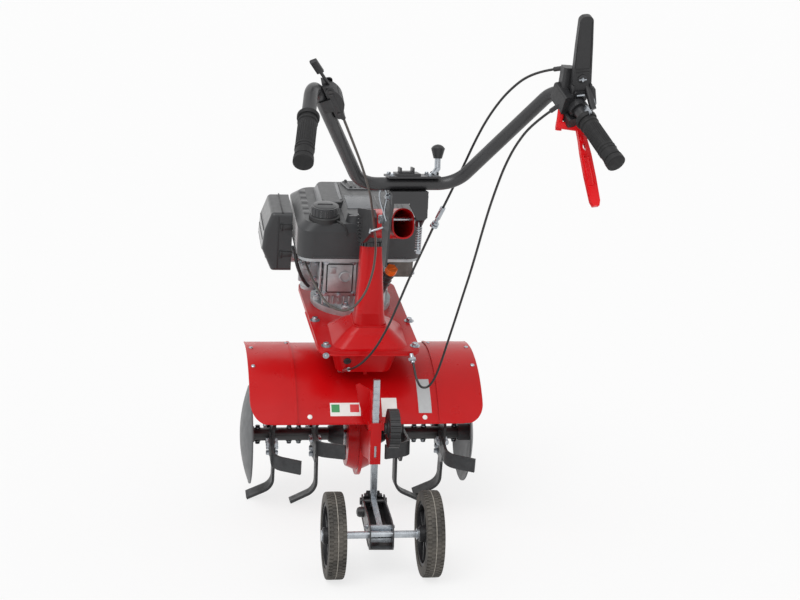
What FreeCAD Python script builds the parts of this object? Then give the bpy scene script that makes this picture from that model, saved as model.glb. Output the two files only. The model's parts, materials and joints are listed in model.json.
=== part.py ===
import FreeCAD, Part
import math
import os

# Garden tiller, built node by node in millimetres.
# Working frame: +Z up, +Y forward (away from the operator), +X to the operator's right,
# with the floor at Z = 0 straight under the rotor axle. Everything is moved at the end so
# that the origin is the middle of the footprint on the floor.

V = FreeCAD.Vector
os.makedirs("parts", exist_ok=True)
nodes = {}

# ---- driving sizes -------------------------------------------------------------------
# rotor
TINE_TIP_R = 162.0        # reach of a hoe from the axle; the rotor stands on its hoes
FLANGE_X = (98.0, 196.0)  # the two tine flanges on each side
FLANGE_R = 70.0
FLANGE_T = 6.0
HOE_W = 33.0
HOE_T = 6.0
HOE_BEND_R = 34.0
HOE_BEND = 65.0           # degrees
HOE_END = 44.0            # straight length after the bend
HOE_ROOT_R = 22.0
HOE_ANGLE = (0.0, 13.0)   # rest angle of the inner and the outer flange's hoes
SHAFT_R = 12.5
ROTOR_TUBE_R = 15.0
ROTOR_TUBE_END = 252.0
DISC_R = 112.0
DISC_T = 2.5
DISC_DISH = 20.0
DISC_RIM_X = 248.0
AXLE_Z = TINE_TIP_R
DECK_RISE = 76.0          # from the top of the hoes' circle to the frame plate
DECK_Z = AXLE_Z + TINE_TIP_R + DECK_RISE
# gearcase
CASE_HALF = 27.0
CASE_R = 74.0
CASE_SHOULDER_R = 85.0
CASE_FLANGE_R = 95.0
CASE_FLANGE_T = 4.0
BORE_PLAY = 0.6
# frame, leaning back with the engine
TILT = 12.5
PLATE_HALF_W = 111.0
PLATE_LEN = 392.0
PLATE_FRONT_LEFT = 127.0
PLATE_FRONT_RIGHT = 101.0
PLATE_T = 4.0
PLATE_SKIRT = 11.0
SKIRT_T = 3.0
MOUNT_HOLE_R = 4.5        # front holes for a bumper or a weight
MOUNT_HOLE_X = (-94.0, 68.0)
MOUNT_HOLE_U = 364.0
PLATE_CORNER = 30.0
PLATE_EDGE = (-200.0, DECK_Z)  # rear edge, Y and Z of the top face
HOUSING_DEPTH = 66.0
# guard
GUARD_HALF = 257.0
GUARD_SEAM = 156.0
GUARD_LAP = 14.0
GUARD_T = 2.0
LAP_PLAY = 0.2
GUARD_REAR = (-200.0, DECK_Z - 163.0)
GUARD_MID = (-102.0, DECK_Z - 66.0)
GUARD_TOP = (0.0, DECK_Z - 36.0)
GUARD_FRONT = (64.0, DECK_Z - 48.0)
# engine, in the leaning frame
ENGINE_X = -14.0
ENGINE_U = 276.0
SHROUD_W = 278.0
SHROUD_L = 262.0
SHROUD_LOW = 157.0
SHROUD_SLOPE_LOW = 221.0  # the cowl's walls end and its shoulder slopes in
TANK_TOP = 238.0          # the shoulder round the fuel cap, then two steps of the roof
ROOF_STEP = 254.0
SHROUD_TOP = 257.0
SHROUD_WALL = 3.0
DECK_T = 24.0
# handlebar
BAR_R = 13.0
BAR_WALL = 2.0
BAR_LOW_HALF = 98.0
BAR_LOW = (-453.0, DECK_Z + 398.0)
BAR_BEND = (239.0, -656.0, DECK_Z + 614.0)
BAR_END = (288.0, -829.0, DECK_Z + 486.0)
GRIP_R = 17.0
GRIP_LEN = 116.0
THROTTLE_AT = 262.0       # along the left arm from the low bend
MOUNT_AT = 62.0           # lever clamp, along the right hand leg from the bend
CABLE_BOX = V(-17, 12, 34)   # cable entry block, from the middle of the lever clamp
FERRULE_R = 4.5
SWING_REST = 5.7          # degrees the bar stands turned at rest
SWIVEL = (0.0, -165.0)
NECK_TOP_Z = DECK_Z + 228.0
COLUMN_W = 46.0           # an oval tube, upright
COLUMN_H = 62.0
COLUMN_WALL = 3.0
COLUMN_END = (-428.0, DECK_Z + 314.0)
CLEVIS_HALF = 37.0
CLEVIS_T = 4.0
EAR_X = (-1.0, 36.5)      # X and Z of the ear turned in from the right plate
EAR_Z = (DECK_Z + 327.5, DECK_Z + 366.0)
CLEVIS_BOLT = (-406.0, DECK_Z + 320.0)  # Y and Z of the cross bolt
BOLT_R = 5.0
# wheels
WHEEL_R = 88.5
WHEEL_W = 36.0
WHEEL_X = 98.5
WHEEL_MID = -11.0         # the axle sits a little off the middle
WHEEL_Y = -510.0
AXLE_R = 7.5
RIM_R = 67.0
# strut
STRUT_Y = -300.0
STRUT_SIDE = 14.0
STRUT_TOP_Z = 361.0
STRUT_FOOT_Z = 82.0
HOLDER_Z = (178.0, 268.0)
HOLDER_WALL = 4.0
WEB_T = 6.0
FIN_TOP_Z = 318.0
SLIDE_PLAY = 0.4
ARM_HALF = 25.0
ARM_SKEW = -3.5           # degrees about the strut
ARM_T = 3.0
# fits
SEAT = 0.3
CABLE_R = 2.5



# ---- small helpers -------------------------------------------------------------------
def box(x0, x1, y0, y1, z0, z1):
    return Part.makeBox(x1 - x0, y1 - y0, z1 - z0, V(x0, y0, z0))


def rod(p, q, r):
    d = q - p
    return Part.makeCylinder(r, d.Length, p, d)


def sleeve(p, q, r_out, r_in):
    d = (q - p).normalize()
    return rod(p, q, r_out).cut(rod(p - d, q + d, r_in))


def cone(p, q, r0, r1):
    d = q - p
    return Part.makeCone(r0, r1, d.Length, p, d)


def prism_x(pts, x0, x1):
    wire = Part.makePolygon([V(x0, y, z) for y, z in pts + pts[:1]])
    return Part.Face(wire).extrude(V(x1 - x0, 0, 0))


def prism_y(pts, y0, y1):
    wire = Part.makePolygon([V(x, y0, z) for x, z in pts + pts[:1]])
    return Part.Face(wire).extrude(V(0, y1 - y0, 0))


def prism_z(pts, z0, z1):
    wire = Part.makePolygon([V(x, y, z0) for x, y in pts + pts[:1]])
    return Part.Face(wire).extrude(V(0, 0, z1 - z0))


def joined(*shapes):
    out = shapes[0]
    for s in shapes[1:]:
        out = out.fuse(s)
    return out.removeSplitter()


def rounded(x0, x1, y0, y1, z0, z1, r):
    """A block with its upright edges rounded."""
    b = box(x0, x1, y0, y1, z0, z1)
    upright = [e for e in b.Edges if abs(e.tangentAt(e.FirstParameter).z) > 0.99]
    return b.makeFillet(r, upright)


def round_rect(cx, cy, z, w, d, r):
    """Closed wire: a rectangle with round corners at height z."""
    hx = w / 2 - r
    hy = d / 2 - r
    k = r * math.sqrt(0.5)
    edges = []
    corners = ((hx, hy, 1, 1), (-hx, hy, -1, 1), (-hx, -hy, -1, -1), (hx, -hy, 1, -1))
    first = None
    last = None
    for x, y, sx, sy in corners:
        a = V(cx + x + (r if sx * sy > 0 else 0) * sx, cy + y + (0 if sx * sy > 0 else r) * sy, z)
        b = V(cx + x + (0 if sx * sy > 0 else r) * sx, cy + y + (r if sx * sy > 0 else 0) * sy, z)
        m = V(cx + x + k * sx, cy + y + k * sy, z)
        if last is None:
            first = a
        else:
            edges.append(Part.LineSegment(last, a).toShape())
        edges.append(Part.Arc(a, m, b).toShape())
        last = b
    edges.append(Part.LineSegment(last, first).toShape())
    return Part.Wire(edges)


def bent_path(points, radii):
    """Straight runs joined by tangent arcs."""
    edges = []
    start = points[0]
    for i in range(1, len(points) - 1):
        here = points[i]
        u = (points[i - 1] - here).normalize()
        v = (points[i + 1] - here).normalize()
        half = u.getAngle(v) / 2
        cut = radii[i - 1] / math.tan(half)
        toward = (u + v).normalize()
        centre = here + toward * (radii[i - 1] / math.sin(half))
        p = here + u * cut
        q = here + v * cut
        edges.append(Part.LineSegment(start, p).toShape())
        edges.append(Part.Arc(p, centre - toward * radii[i - 1], q).toShape())
        start = q
    edges.append(Part.LineSegment(start, points[-1]).toShape())
    return Part.Wire(edges)


def swept(path, r):
    first = path.OrderedEdges[0]
    start = path.OrderedVertexes[0].Point
    ring = Part.Wire(Part.makeCircle(r, start, first.tangentAt(first.FirstParameter)))
    return path.makePipeShell([ring], True, False)


def mirror_x(shape):
    return shape.mirror(V(0, 0, 0), V(1, 0, 0))


def about_axle(shape, degrees):
    """Turn a piece about the rotor axle."""
    out = shape.copy()
    out.rotate(V(0, 0, AXLE_Z), V(1, 0, 0), degrees)
    return out


def lean(shape):
    """From the leaning frame (x, forward along the plate, up off the plate) to the machine."""
    out = shape.copy()
    out.rotate(V(0, 0, 0), V(1, 0, 0), TILT)
    out.translate(V(0, PLATE_EDGE[0], PLATE_EDGE[1]))
    return out


def swung(shape):
    """From the handlebar's own frame to its rest position on the swivel."""
    out = shape.copy()
    out.rotate(V(SWIVEL[0], SWIVEL[1], 0), V(0, 0, 1), SWING_REST)
    return out


def framed(shape, centre, along_dir, side_dir):
    """Stand a piece drawn with Z along and X across on along_dir and side_dir at centre."""
    d = V(along_dir).normalize()
    s = (side_dir - d * side_dir.dot(d)).normalize()
    n = d.cross(s)
    out = shape.copy()
    out.Placement = FreeCAD.Placement(FreeCAD.Matrix(s.x, n.x, d.x, centre.x,
                                                     s.y, n.y, d.y, centre.y,
                                                     s.z, n.z, d.z, centre.z,
                                                     0, 0, 0, 1))
    return out


def frame_block(centre, along_dir, side_dir, length, width, thick, r):
    """A rounded block whose long axis follows along_dir; width lies along side_dir."""
    b = rounded(-width / 2, width / 2, -thick / 2, thick / 2, -length / 2, length / 2, r)
    return framed(b, centre, along_dir, side_dir)


# ---- rotor ---------------------------------------------------------------------------
axle = V(0, 0, AXLE_Z)
nodes["rotor_shaft"] = rod(V(-130, 0, AXLE_Z), V(130, 0, AXLE_Z), SHAFT_R)


def along(x):
    return V(x, 0, AXLE_Z)


bell_in = CASE_HALF + 7.0
bell_out = bell_in + 32.0
tube_right = sleeve(along(bell_in), along(ROTOR_TUBE_END), ROTOR_TUBE_R, SHAFT_R + SEAT)
for fx in FLANGE_X:
    plate = Part.makeCylinder(FLANGE_R, FLANGE_T, along(fx - FLANGE_T / 2), V(1, 0, 0))
    square = box(fx - FLANGE_T, fx + FLANGE_T, -FLANGE_R * 0.8, FLANGE_R * 0.8,
                 AXLE_Z - FLANGE_R * 0.8, AXLE_Z + FLANGE_R * 0.8)
    plate = plate.common(square)
    plate = plate.cut(Part.makeCylinder(ROTOR_TUBE_R, 2 * FLANGE_T, along(fx - FLANGE_T), V(1, 0, 0)))
    plate = about_axle(plate, HOE_ANGLE[FLANGE_X.index(fx)])
    tube_right = tube_right.fuse(plate)
tube_right = tube_right.removeSplitter()
nodes["rotor_tube_right"] = tube_right
nodes["rotor_tube_left"] = mirror_x(tube_right)
bell = cone(along(bell_in), along(bell_out), 37.0, ROTOR_TUBE_R + 3.0)
bell = bell.cut(cone(along(bell_in - 1), along(bell_out - 8), 34.0, ROTOR_TUBE_R + 1.0))
bell = bell.cut(rod(along(0), along(bell_out + 5), ROTOR_TUBE_R + SEAT))
nodes["seal_bells"] = Part.makeCompound([bell, mirror_x(bell)])


def hoe(side):
    """One hoe hanging straight down from the axle; its blade turns to +X or -X."""
    a = math.radians(HOE_BEND)
    rise = (HOE_BEND_R + HOE_T / 2) * math.sin(a) + HOE_END * math.cos(a)
    knee = TINE_TIP_R - rise

    def at(rho, ang, extra=0.0):
        x = HOE_BEND_R - rho * math.cos(ang) + extra * math.sin(ang)
        r = knee + rho * math.sin(ang) + extra * math.cos(ang)
        return V(side * x, -HOE_W / 2, AXLE_Z - r)

    outer = HOE_BEND_R + HOE_T / 2
    inner = HOE_BEND_R - HOE_T / 2
    root_a = V(-side * HOE_T / 2, -HOE_W / 2, AXLE_Z - HOE_ROOT_R)
    root_b = V(side * HOE_T / 2, -HOE_W / 2, AXLE_Z - HOE_ROOT_R)
    wire = Part.Wire([
        Part.LineSegment(root_a, at(outer, 0)).toShape(),
        Part.Arc(at(outer, 0), at(outer, a / 2), at(outer, a)).toShape(),
        Part.LineSegment(at(outer, a), at(outer, a, HOE_END)).toShape(),
        Part.LineSegment(at(outer, a, HOE_END), at(inner, a, HOE_END)).toShape(),
        Part.LineSegment(at(inner, a, HOE_END), at(inner, a)).toShape(),
        Part.Arc(at(inner, a), at(inner, a / 2), at(inner, 0)).toShape(),
        Part.LineSegment(at(inner, 0), root_b).toShape(),
        Part.LineSegment(root_b, root_a).toShape(),
    ])
    return Part.Face(wire).extrude(V(0, HOE_W, 0))


def tine_set(x, rest):
    """Four hoes at a quarter turn each, bolted on alternate faces of a flange."""
    blades = []
    for k in range(4):
        side = -1 if k % 2 == 0 else 1
        blade = hoe(side)
        offset = -side * (FLANGE_T / 2 + HOE_T / 2)
        blade.translate(V(x + offset, 0, 0))
        blades.append(about_axle(blade, rest - 90.0 * k))
    return Part.makeCompound(blades)


inner_x, outer_x = FLANGE_X
inner_rest, outer_rest = HOE_ANGLE
nodes["tines_left"] = Part.makeCompound([tine_set(-inner_x, inner_rest), tine_set(-outer_x, outer_rest)])
inner_right = mirror_x(tine_set(-inner_x, inner_rest))
nodes["tines_right"] = Part.makeCompound([inner_right, tine_set(outer_x, outer_rest)])

dish_r = (DISC_R ** 2 + DISC_DISH ** 2) / (2 * DISC_DISH)
crown_x = DISC_RIM_X + DISC_DISH
dish_mid = along(crown_x - dish_r)
disc = Part.makeSphere(dish_r, dish_mid).cut(Part.makeSphere(dish_r - DISC_T, dish_mid))
disc = disc.common(rod(along(DISC_RIM_X - 30), along(crown_x + 5), DISC_R))
disc = disc.fuse(rod(along(DISC_RIM_X - 12), along(crown_x - DISC_T), ROTOR_TUBE_R + 3.5))
disc = disc.cut(rod(along(0), along(ROTOR_TUBE_END + SEAT), ROTOR_TUBE_R + SEAT)).removeSplitter()
nodes["side_discs"] = Part.makeCompound([disc, mirror_x(disc)])

# ---- gearcase: two pressed halves, leaning with the frame -------------------------------
# distance from the axle to the underside of the clutch housing, measured up the lean
lean_rad = math.radians(TILT)
axle_to_edge_y = -PLATE_EDGE[0]
axle_to_edge_z = PLATE_EDGE[1] - AXLE_Z
axle_u = axle_to_edge_y * math.cos(lean_rad) - axle_to_edge_z * math.sin(lean_rad)
axle_w = -axle_to_edge_y * math.sin(lean_rad) - axle_to_edge_z * math.cos(lean_rad)
case_top = -HOUSING_DEPTH


def case_wall(half_low, half_top, x0, x1):
    pts = [(axle_u - half_low, axle_w), (axle_u + half_low, axle_w),
           (axle_u + half_top, case_top), (axle_u - half_top, case_top)]
    return lean(prism_x(pts, x0, x1))


case = joined(
    case_wall(CASE_R - 4, 50.0, 0, CASE_HALF),
    case_wall(CASE_SHOULDER_R - 12, 62.0, 0, 9.0),
    case_wall(CASE_FLANGE_R - 10, 76.0, 0, CASE_FLANGE_T),
    Part.makeCylinder(CASE_FLANGE_R, CASE_FLANGE_T, along(0), V(1, 0, 0)),
    cone(along(0), along(9), CASE_SHOULDER_R, CASE_SHOULDER_R - 3),
    cone(along(9), along(CASE_HALF), CASE_SHOULDER_R - 3, CASE_R),
)
case = case.cut(rod(along(-5), along(CASE_HALF + 5), SHAFT_R + BORE_PLAY))
nodes["gearcase_right"] = case
nodes["gearcase_left"] = mirror_x(case)

# ---- frame plate, clutch housing and neck ----------------------------------------------


def plate_block(inset, z0, z1):
    """The plate's outline, a little wider at the front left, with round corners."""
    pts = [(-PLATE_HALF_W + inset, inset), (PLATE_HALF_W - inset, inset),
           (PLATE_FRONT_RIGHT - inset, PLATE_LEN - inset), (-PLATE_FRONT_LEFT + inset, PLATE_LEN - inset)]
    b = prism_z(pts, z0, z1)
    upright = [e for e in b.Edges if abs(e.tangentAt(e.FirstParameter).z) > 0.99]
    return b.makeFillet(PLATE_CORNER - inset, upright)


plate = plate_block(0, -PLATE_T, 0)
skirt = plate_block(0, -PLATE_SKIRT, 0).cut(plate_block(SKIRT_T, -PLATE_SKIRT - 1, 1))
plate = joined(plate, skirt)
for hole_x in MOUNT_HOLE_X:
    plate = plate.cut(rod(V(hole_x, MOUNT_HOLE_U, -20), V(hole_x, MOUNT_HOLE_U, 5), MOUNT_HOLE_R))
nodes["frame_plate"] = lean(plate)

housing_low = round_rect(-8, 118, -HOUSING_DEPTH, 122, 168, 22)
housing_high = round_rect(-8, 118, -PLATE_T, 152, 206, 26)
housing = Part.makeLoft([housing_low, housing_high], True, True)
nodes["clutch_housing"] = lean(housing)


def leaned_wire(wire):
    out = wire.copy()
    out.rotate(V(0, 0, 0), V(1, 0, 0), TILT)
    out.translate(V(0, PLATE_EDGE[0], PLATE_EDGE[1]))
    return out


NECK_WALL = 3.0
neck_x, neck_y = SWIVEL


def neck_loft(inset):
    wires = [
        leaned_wire(round_rect(2, 88, 0, 164 - 2 * inset, 154 - 2 * inset, 26 - inset)),
        leaned_wire(round_rect(2, 88, 23, 110 - 2 * inset, 110 - 2 * inset, 21 - inset)),
        leaned_wire(round_rect(2, 80, 40, 70 - 2 * inset, 74 - 2 * inset, 17 - inset)),
        round_rect(1, -146, NECK_TOP_Z - 150, 62 - 2 * inset, 62 - 2 * inset, 16 - inset),
        round_rect(0, -156, NECK_TOP_Z - 73, 52 - 2 * inset, 54 - 2 * inset, 15 - inset),
        round_rect(neck_x, neck_y, NECK_TOP_Z, 48 - 2 * inset, 48 - 2 * inset, 15 - inset),
    ]
    return Part.makeLoft(wires, True, True)


neck = neck_loft(0).cut(neck_loft(NECK_WALL))
POST_R = 13.0
cap = Part.Face(round_rect(neck_x, neck_y, NECK_TOP_Z - 6, 48 - 2 * NECK_WALL + 0.4,
                           48 - 2 * NECK_WALL + 0.4, 12)).extrude(V(0, 0, 6))
neck = joined(neck, cap)
nodes["neck"] = neck

# toothed swivel seat: a ring with radial notches and the post the bar turns on
RING_R = 29.0
RING_T = 9.0
POST_TOP = NECK_TOP_Z + 74.0
ring = rod(V(neck_x, neck_y, NECK_TOP_Z), V(neck_x, neck_y, NECK_TOP_Z + RING_T), RING_R)
for k in range(24):
    notch = box(neck_x + RING_R - 3, neck_x + RING_R + 3, neck_y - 1.8, neck_y + 1.8,
                NECK_TOP_Z - 1, NECK_TOP_Z + RING_T + 1)
    notch.rotate(V(neck_x, neck_y, 0), V(0, 0, 1), 15.0 * k)
    ring = ring.cut(notch)
post = rod(V(neck_x, neck_y, NECK_TOP_Z), V(neck_x, neck_y, POST_TOP), POST_R)
nodes["swivel_seat"] = joined(ring, post)

# ---- strut holder behind the gearcase --------------------------------------------------
hz0, hz1 = HOLDER_Z
inner = STRUT_SIDE / 2 + SLIDE_PLAY
outer = inner + HOLDER_WALL
channel = box(-outer, outer, STRUT_Y - outer, STRUT_Y + outer, hz0, hz1)
channel = channel.cut(box(-inner, inner, STRUT_Y - inner, STRUT_Y + inner, hz0 - 1, hz1 + 1))
# the channel is open at the rear over its middle and flared at its mouth
channel = channel.cut(box(-2.5, 2.5, STRUT_Y - outer - 1, STRUT_Y - inner + 1, hz0 + 14, hz0 + 40))
lip = box(-outer - 4, outer + 6, STRUT_Y - outer + 2, STRUT_Y + outer, hz1 - 16, hz1)
lip = lip.cut(box(-inner, inner, STRUT_Y - inner, STRUT_Y + inner, hz1 - 20, hz1 + 1))
channel = channel.fuse(lip)
web_pts = [(STRUT_Y + outer - 1, hz0), (STRUT_Y + outer - 1, hz1), (-222.0, FIN_TOP_Z), (-210.0, FIN_TOP_Z),
           (-210.0, 222.0), (-120.0, 218.0), (-62.0, 218.0), (-62.0, 150.0), (-150.0, 150.0)]
web = prism_x(web_pts, -WEB_T / 2, WEB_T / 2)
clip = Part.makeCylinder(CASE_FLANGE_R + SEAT, 40, along(-20), V(1, 0, 0))
web = web.cut(clip)
web = web.cut(case_wall(CASE_FLANGE_R - 10 + SEAT, 76.0 + SEAT, -20, 20))
web = max(web.Solids, key=lambda solid: solid.Volume)
# a curved brace stands off the web to the left
brace = prism_y([(0, FIN_TOP_Z), (-26, FIN_TOP_Z + 16), (-34, FIN_TOP_Z + 12), (-24, FIN_TOP_Z - 34),
                 (-12, hz1 - 22), (0, hz1 - 34)], -222.0, -217.0)
nodes["strut_holder"] = joined(channel, web, brace)

KNOB_R = 42.0
KNOB_T = 22.0
KNOB_Z = 254.0
knob_in = 27.0
stem = rod(V(outer + 6 + SEAT, STRUT_Y, KNOB_Z), V(knob_in + 2, STRUT_Y, KNOB_Z), 7.0)
knob = rod(V(knob_in, STRUT_Y, KNOB_Z), V(knob_in + KNOB_T, STRUT_Y, KNOB_Z), KNOB_R)
for k in range(20):
    groove = rod(V(knob_in - 1, STRUT_Y, KNOB_Z + KNOB_R + 1.2),
                 V(knob_in + KNOB_T + 1, STRUT_Y, KNOB_Z + KNOB_R + 1.2), 3.2)
    groove.rotate(V(0, STRUT_Y, KNOB_Z), V(1, 0, 0), 18.0 * k)
    knob = knob.cut(groove)
nodes["clamp_knob"] = joined(knob, stem)

# ---- guard: one middle panel and two wings lapped over it ----------------------------------


def circle_through(a, b, c):
    """Centre and radius of the circle through three points of the Y-Z plane."""
    ax, ay = a
    bx, by = b
    cx, cy = c
    d = 2 * (ax * (by - cy) + bx * (cy - ay) + cx * (ay - by))
    ux = ((ax * ax + ay * ay) * (by - cy) + (bx * bx + by * by) * (cy - ay)
          + (cx * cx + cy * cy) * (ay - by)) / d
    uy = ((ax * ax + ay * ay) * (cx - bx) + (bx * bx + by * by) * (ax - cx)
          + (cx * cx + cy * cy) * (bx - ax)) / d
    return ux, uy, math.hypot(ax - ux, ay - uy)


rear_y, rear_z, rear_r = circle_through(GUARD_REAR, GUARD_MID, GUARD_TOP)
front_a = math.atan2(GUARD_FRONT[1] - rear_z, GUARD_FRONT[0] - rear_y)
rear_a = math.atan2(GUARD_REAR[1] - rear_z, GUARD_REAR[0] - rear_y)
if rear_a < 0:
    rear_a += 2 * math.pi


def guard_sheet(x0, x1, lift):
    """Part of the hood between two X planes; lift raises it off the middle panel."""
    lo = rear_r + lift
    hi = lo + GUARD_T
    mid_a = (front_a + rear_a) / 2

    def at(r, a):
        return V(x0, rear_y + r * math.cos(a), rear_z + r * math.sin(a))

    wire = Part.Wire([
        Part.Arc(at(lo, rear_a), at(lo, mid_a), at(lo, front_a)).toShape(),
        Part.LineSegment(at(lo, front_a), at(hi, front_a)).toShape(),
        Part.Arc(at(hi, front_a), at(hi, mid_a), at(hi, rear_a)).toShape(),
        Part.LineSegment(at(hi, rear_a), at(lo, rear_a)).toShape(),
    ])
    return Part.Face(wire).extrude(V(x1 - x0, 0, 0))


middle = guard_sheet(-GUARD_SEAM - GUARD_LAP, GUARD_SEAM + GUARD_LAP, 0.0)
slot_half = CASE_HALF + SEAT
slot = case_wall(CASE_R - 4 + SEAT, 50.0 + SEAT, -slot_half, slot_half)
slot = slot.fuse(case_wall(CASE_SHOULDER_R - 12 + SEAT, 62.0 + SEAT, -9 - SEAT, 9 + SEAT))
flange_half = CASE_FLANGE_T + SEAT
slot = slot.fuse(case_wall(CASE_FLANGE_R - 10 + SEAT, 76.0 + SEAT, -flange_half, flange_half))
middle = middle.cut(slot)
# the crown of the hood is cut away where the housing sits lower than it
relief = lean(box(-90, 74, 6, 230, -HOUSING_DEPTH - SEAT, 0))
middle = middle.cut(relief)
nodes["guard_middle"] = middle

CORNER_R = 42.0
wing = guard_sheet(GUARD_SEAM, GUARD_HALF, GUARD_T + LAP_PLAY)
corner = box(GUARD_HALF - CORNER_R, GUARD_HALF + 1, -270, -100,
             GUARD_REAR[1] - 20, GUARD_REAR[1] + CORNER_R)
corner = corner.cut(rod(V(GUARD_HALF - CORNER_R, -280, GUARD_REAR[1] + CORNER_R),
                        V(GUARD_HALF - CORNER_R, -90, GUARD_REAR[1] + CORNER_R), CORNER_R))
wing = wing.cut(corner)
nodes["guard_wing_right"] = wing
nodes["guard_wing_left"] = mirror_x(wing)

# ---- engine, built level on the plate and then leaned --------------------------------------
ex = ENGINE_X
eu = ENGINE_U
flange = rod(V(ex, eu, 0), V(ex, eu, 14), 92.0)
flange = flange.fuse(rod(V(ex, eu, 14), V(ex, eu, 26), 78.0))
nodes["engine_flange"] = lean(flange.removeSplitter())

CRANK_TOP = SHROUD_LOW - 8.0
crank_block = rounded(ex - 72, ex + 72, eu - 76, eu + 60, 26, CRANK_TOP, 18.0)
crank = crank_block.copy()
for k in range(5):
    rib_z = 44.0 + 19.0 * k
    crank = crank.fuse(box(ex - 76, ex + 76, eu - 60, eu + 40, rib_z, rib_z + 3.5))
deck = rounded(ex - SHROUD_W / 2 + SHROUD_WALL + SEAT, ex + SHROUD_W / 2 - SHROUD_WALL - SEAT,
               eu - SHROUD_L / 2 + SHROUD_WALL + SEAT, eu + SHROUD_L / 2 - SHROUD_WALL - SEAT,
               CRANK_TOP, CRANK_TOP + DECK_T, 30.0)
nodes["crankcase"] = lean(joined(crank, deck))

head_y0 = eu + 60.0
head_y1 = head_y0 + 78.0
barrel = box(ex - 40, ex + 40, head_y0, head_y1, 62, CRANK_TOP - 18)
for k in range(7):
    fin_y = head_y0 + 6.0 + 10.0 * k
    barrel = barrel.fuse(rounded(ex - 62, ex + 62, fin_y, fin_y + 3.5, 44, CRANK_TOP - 4, 1.5))
nodes["cylinder"] = lean(barrel.removeSplitter())



def tier(inset, foot, foot_z, head, head_z, corner):
    """One step of the cowl: a loft between two rectangles of x0, x1, u0 and u1."""
    wires = []
    for (x0, x1, u0, u1), z in ((foot, foot_z), (head, head_z)):
        wires.append(round_rect((x0 + x1) / 2, (u0 + u1) / 2, z,
                                x1 - x0 - 2 * inset, u1 - u0 - 2 * inset, corner - inset))
    return Part.makeLoft(wires, True, True)


half_w, half_l = SHROUD_W / 2, SHROUD_L / 2
WALL_RECT = (ex - half_w, ex + half_w, eu - half_l, eu + half_l)
SHOULDER_RECT = (ex - half_w + 16, ex + half_w - 16, eu - half_l + 4, eu + half_l - 21)
STEP_FOOT = (ex - 89, ex + 121, eu - 28, eu + 109)
STEP_HEAD = (ex - 78, ex + 116, eu - 25, eu + 103)
ROOF_FOOT = (ex - 36, ex + 121, eu - half_l + 5, eu + 108)
ROOF_HEAD = (ex - 30, ex + 114, eu - half_l + 8, eu + 101)
TIER_LAP = 4.0


def cowl_solid(inset, low, drop):
    """Upright walls, a shoulder, then two steps that stand on it; drop lowers every roof for the hollow."""
    base_z = TANK_TOP - TIER_LAP - drop
    sides = rounded(WALL_RECT[0] + inset, WALL_RECT[1] - inset, WALL_RECT[2] + inset, WALL_RECT[3] - inset,
                    low, SHROUD_SLOPE_LOW, 34.0 - inset)
    shoulder = tier(inset, WALL_RECT, SHROUD_SLOPE_LOW, SHOULDER_RECT, TANK_TOP - drop, 34.0)
    step = tier(inset, STEP_FOOT, base_z, STEP_HEAD, ROOF_STEP - drop, 14.0)
    roof = tier(inset, ROOF_FOOT, base_z, ROOF_HEAD, SHROUD_TOP - drop, 20.0)
    return sides.fuse([shoulder, step, roof]).removeSplitter()


shroud = cowl_solid(0.0, SHROUD_LOW, 0.0).cut(cowl_solid(SHROUD_WALL, SHROUD_LOW - 1, SHROUD_WALL))
nodes["engine_shroud"] = lean(shroud)

# the panel over the starter, with a slanted left edge
PANEL_T = 3.0
panel_pts = [(ex - 13, eu + 41), (ex + 92, eu + 41), (ex + 102, eu + 51), (ex + 102, eu + 84),
             (ex + 92, eu + 94), (ex - 18, eu + 94), (ex - 25, eu + 86)]
nodes["recoil_cover"] = lean(prism_z(panel_pts, SHROUD_TOP, SHROUD_TOP + PANEL_T))

cap_x = ex - 80.0
cap_u = eu - 96.0
fuel = rod(V(cap_x, cap_u, TANK_TOP - 22), V(cap_x, cap_u, TANK_TOP + 10), 26.0)
fuel = fuel.fuse(rod(V(cap_x, cap_u, TANK_TOP + 10), V(cap_x, cap_u, TANK_TOP + 32), 30.0))
fuel = fuel.cut(cowl_solid(-SEAT, SHROUD_LOW, 0.0))
nodes["fuel_cap"] = lean(fuel.removeSplitter())

air_x1 = ex - SHROUD_W / 2 - 8.0
AIR_LOW = 100.0
AIR_TOP = 238.0
air_outline = [(air_x1, AIR_LOW), (air_x1, AIR_TOP), (air_x1 - 46, AIR_TOP), (air_x1 - 62, AIR_TOP - 44),
               (air_x1 - 66, AIR_LOW + 52), (air_x1 - 44, AIR_LOW)]
air = prism_y(air_outline, eu - 66, eu + 66)
air = air.makeFillet(9.0, [e for e in air.Edges if min(v.X for v in e.Vertexes) < air_x1 - 1])
nodes["air_filter_box"] = lean(air)
carb = joined(
    box(ex - 116, ex - 76, eu - 28, eu + 28, 58, 122),
    rod(V(ex - 72, eu, 96), V(ex - 118, eu, 96), 17.0),
    rod(V(ex - 114, eu, 116), V(air_x1 - 1, eu, 116), 19.0),
    rod(V(ex - 96, eu, 58), V(ex - 96, eu, 38), 21.0),
)
carb = carb.cut(box(air_x1 - 70, air_x1, eu - 70, eu + 70, 90, 255))
carb = carb.cut(box(ex - 76 + 0, ex + 76, eu - 60, eu + 40, 30, CRANK_TOP))
nodes["carburettor"] = lean(carb)

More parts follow.
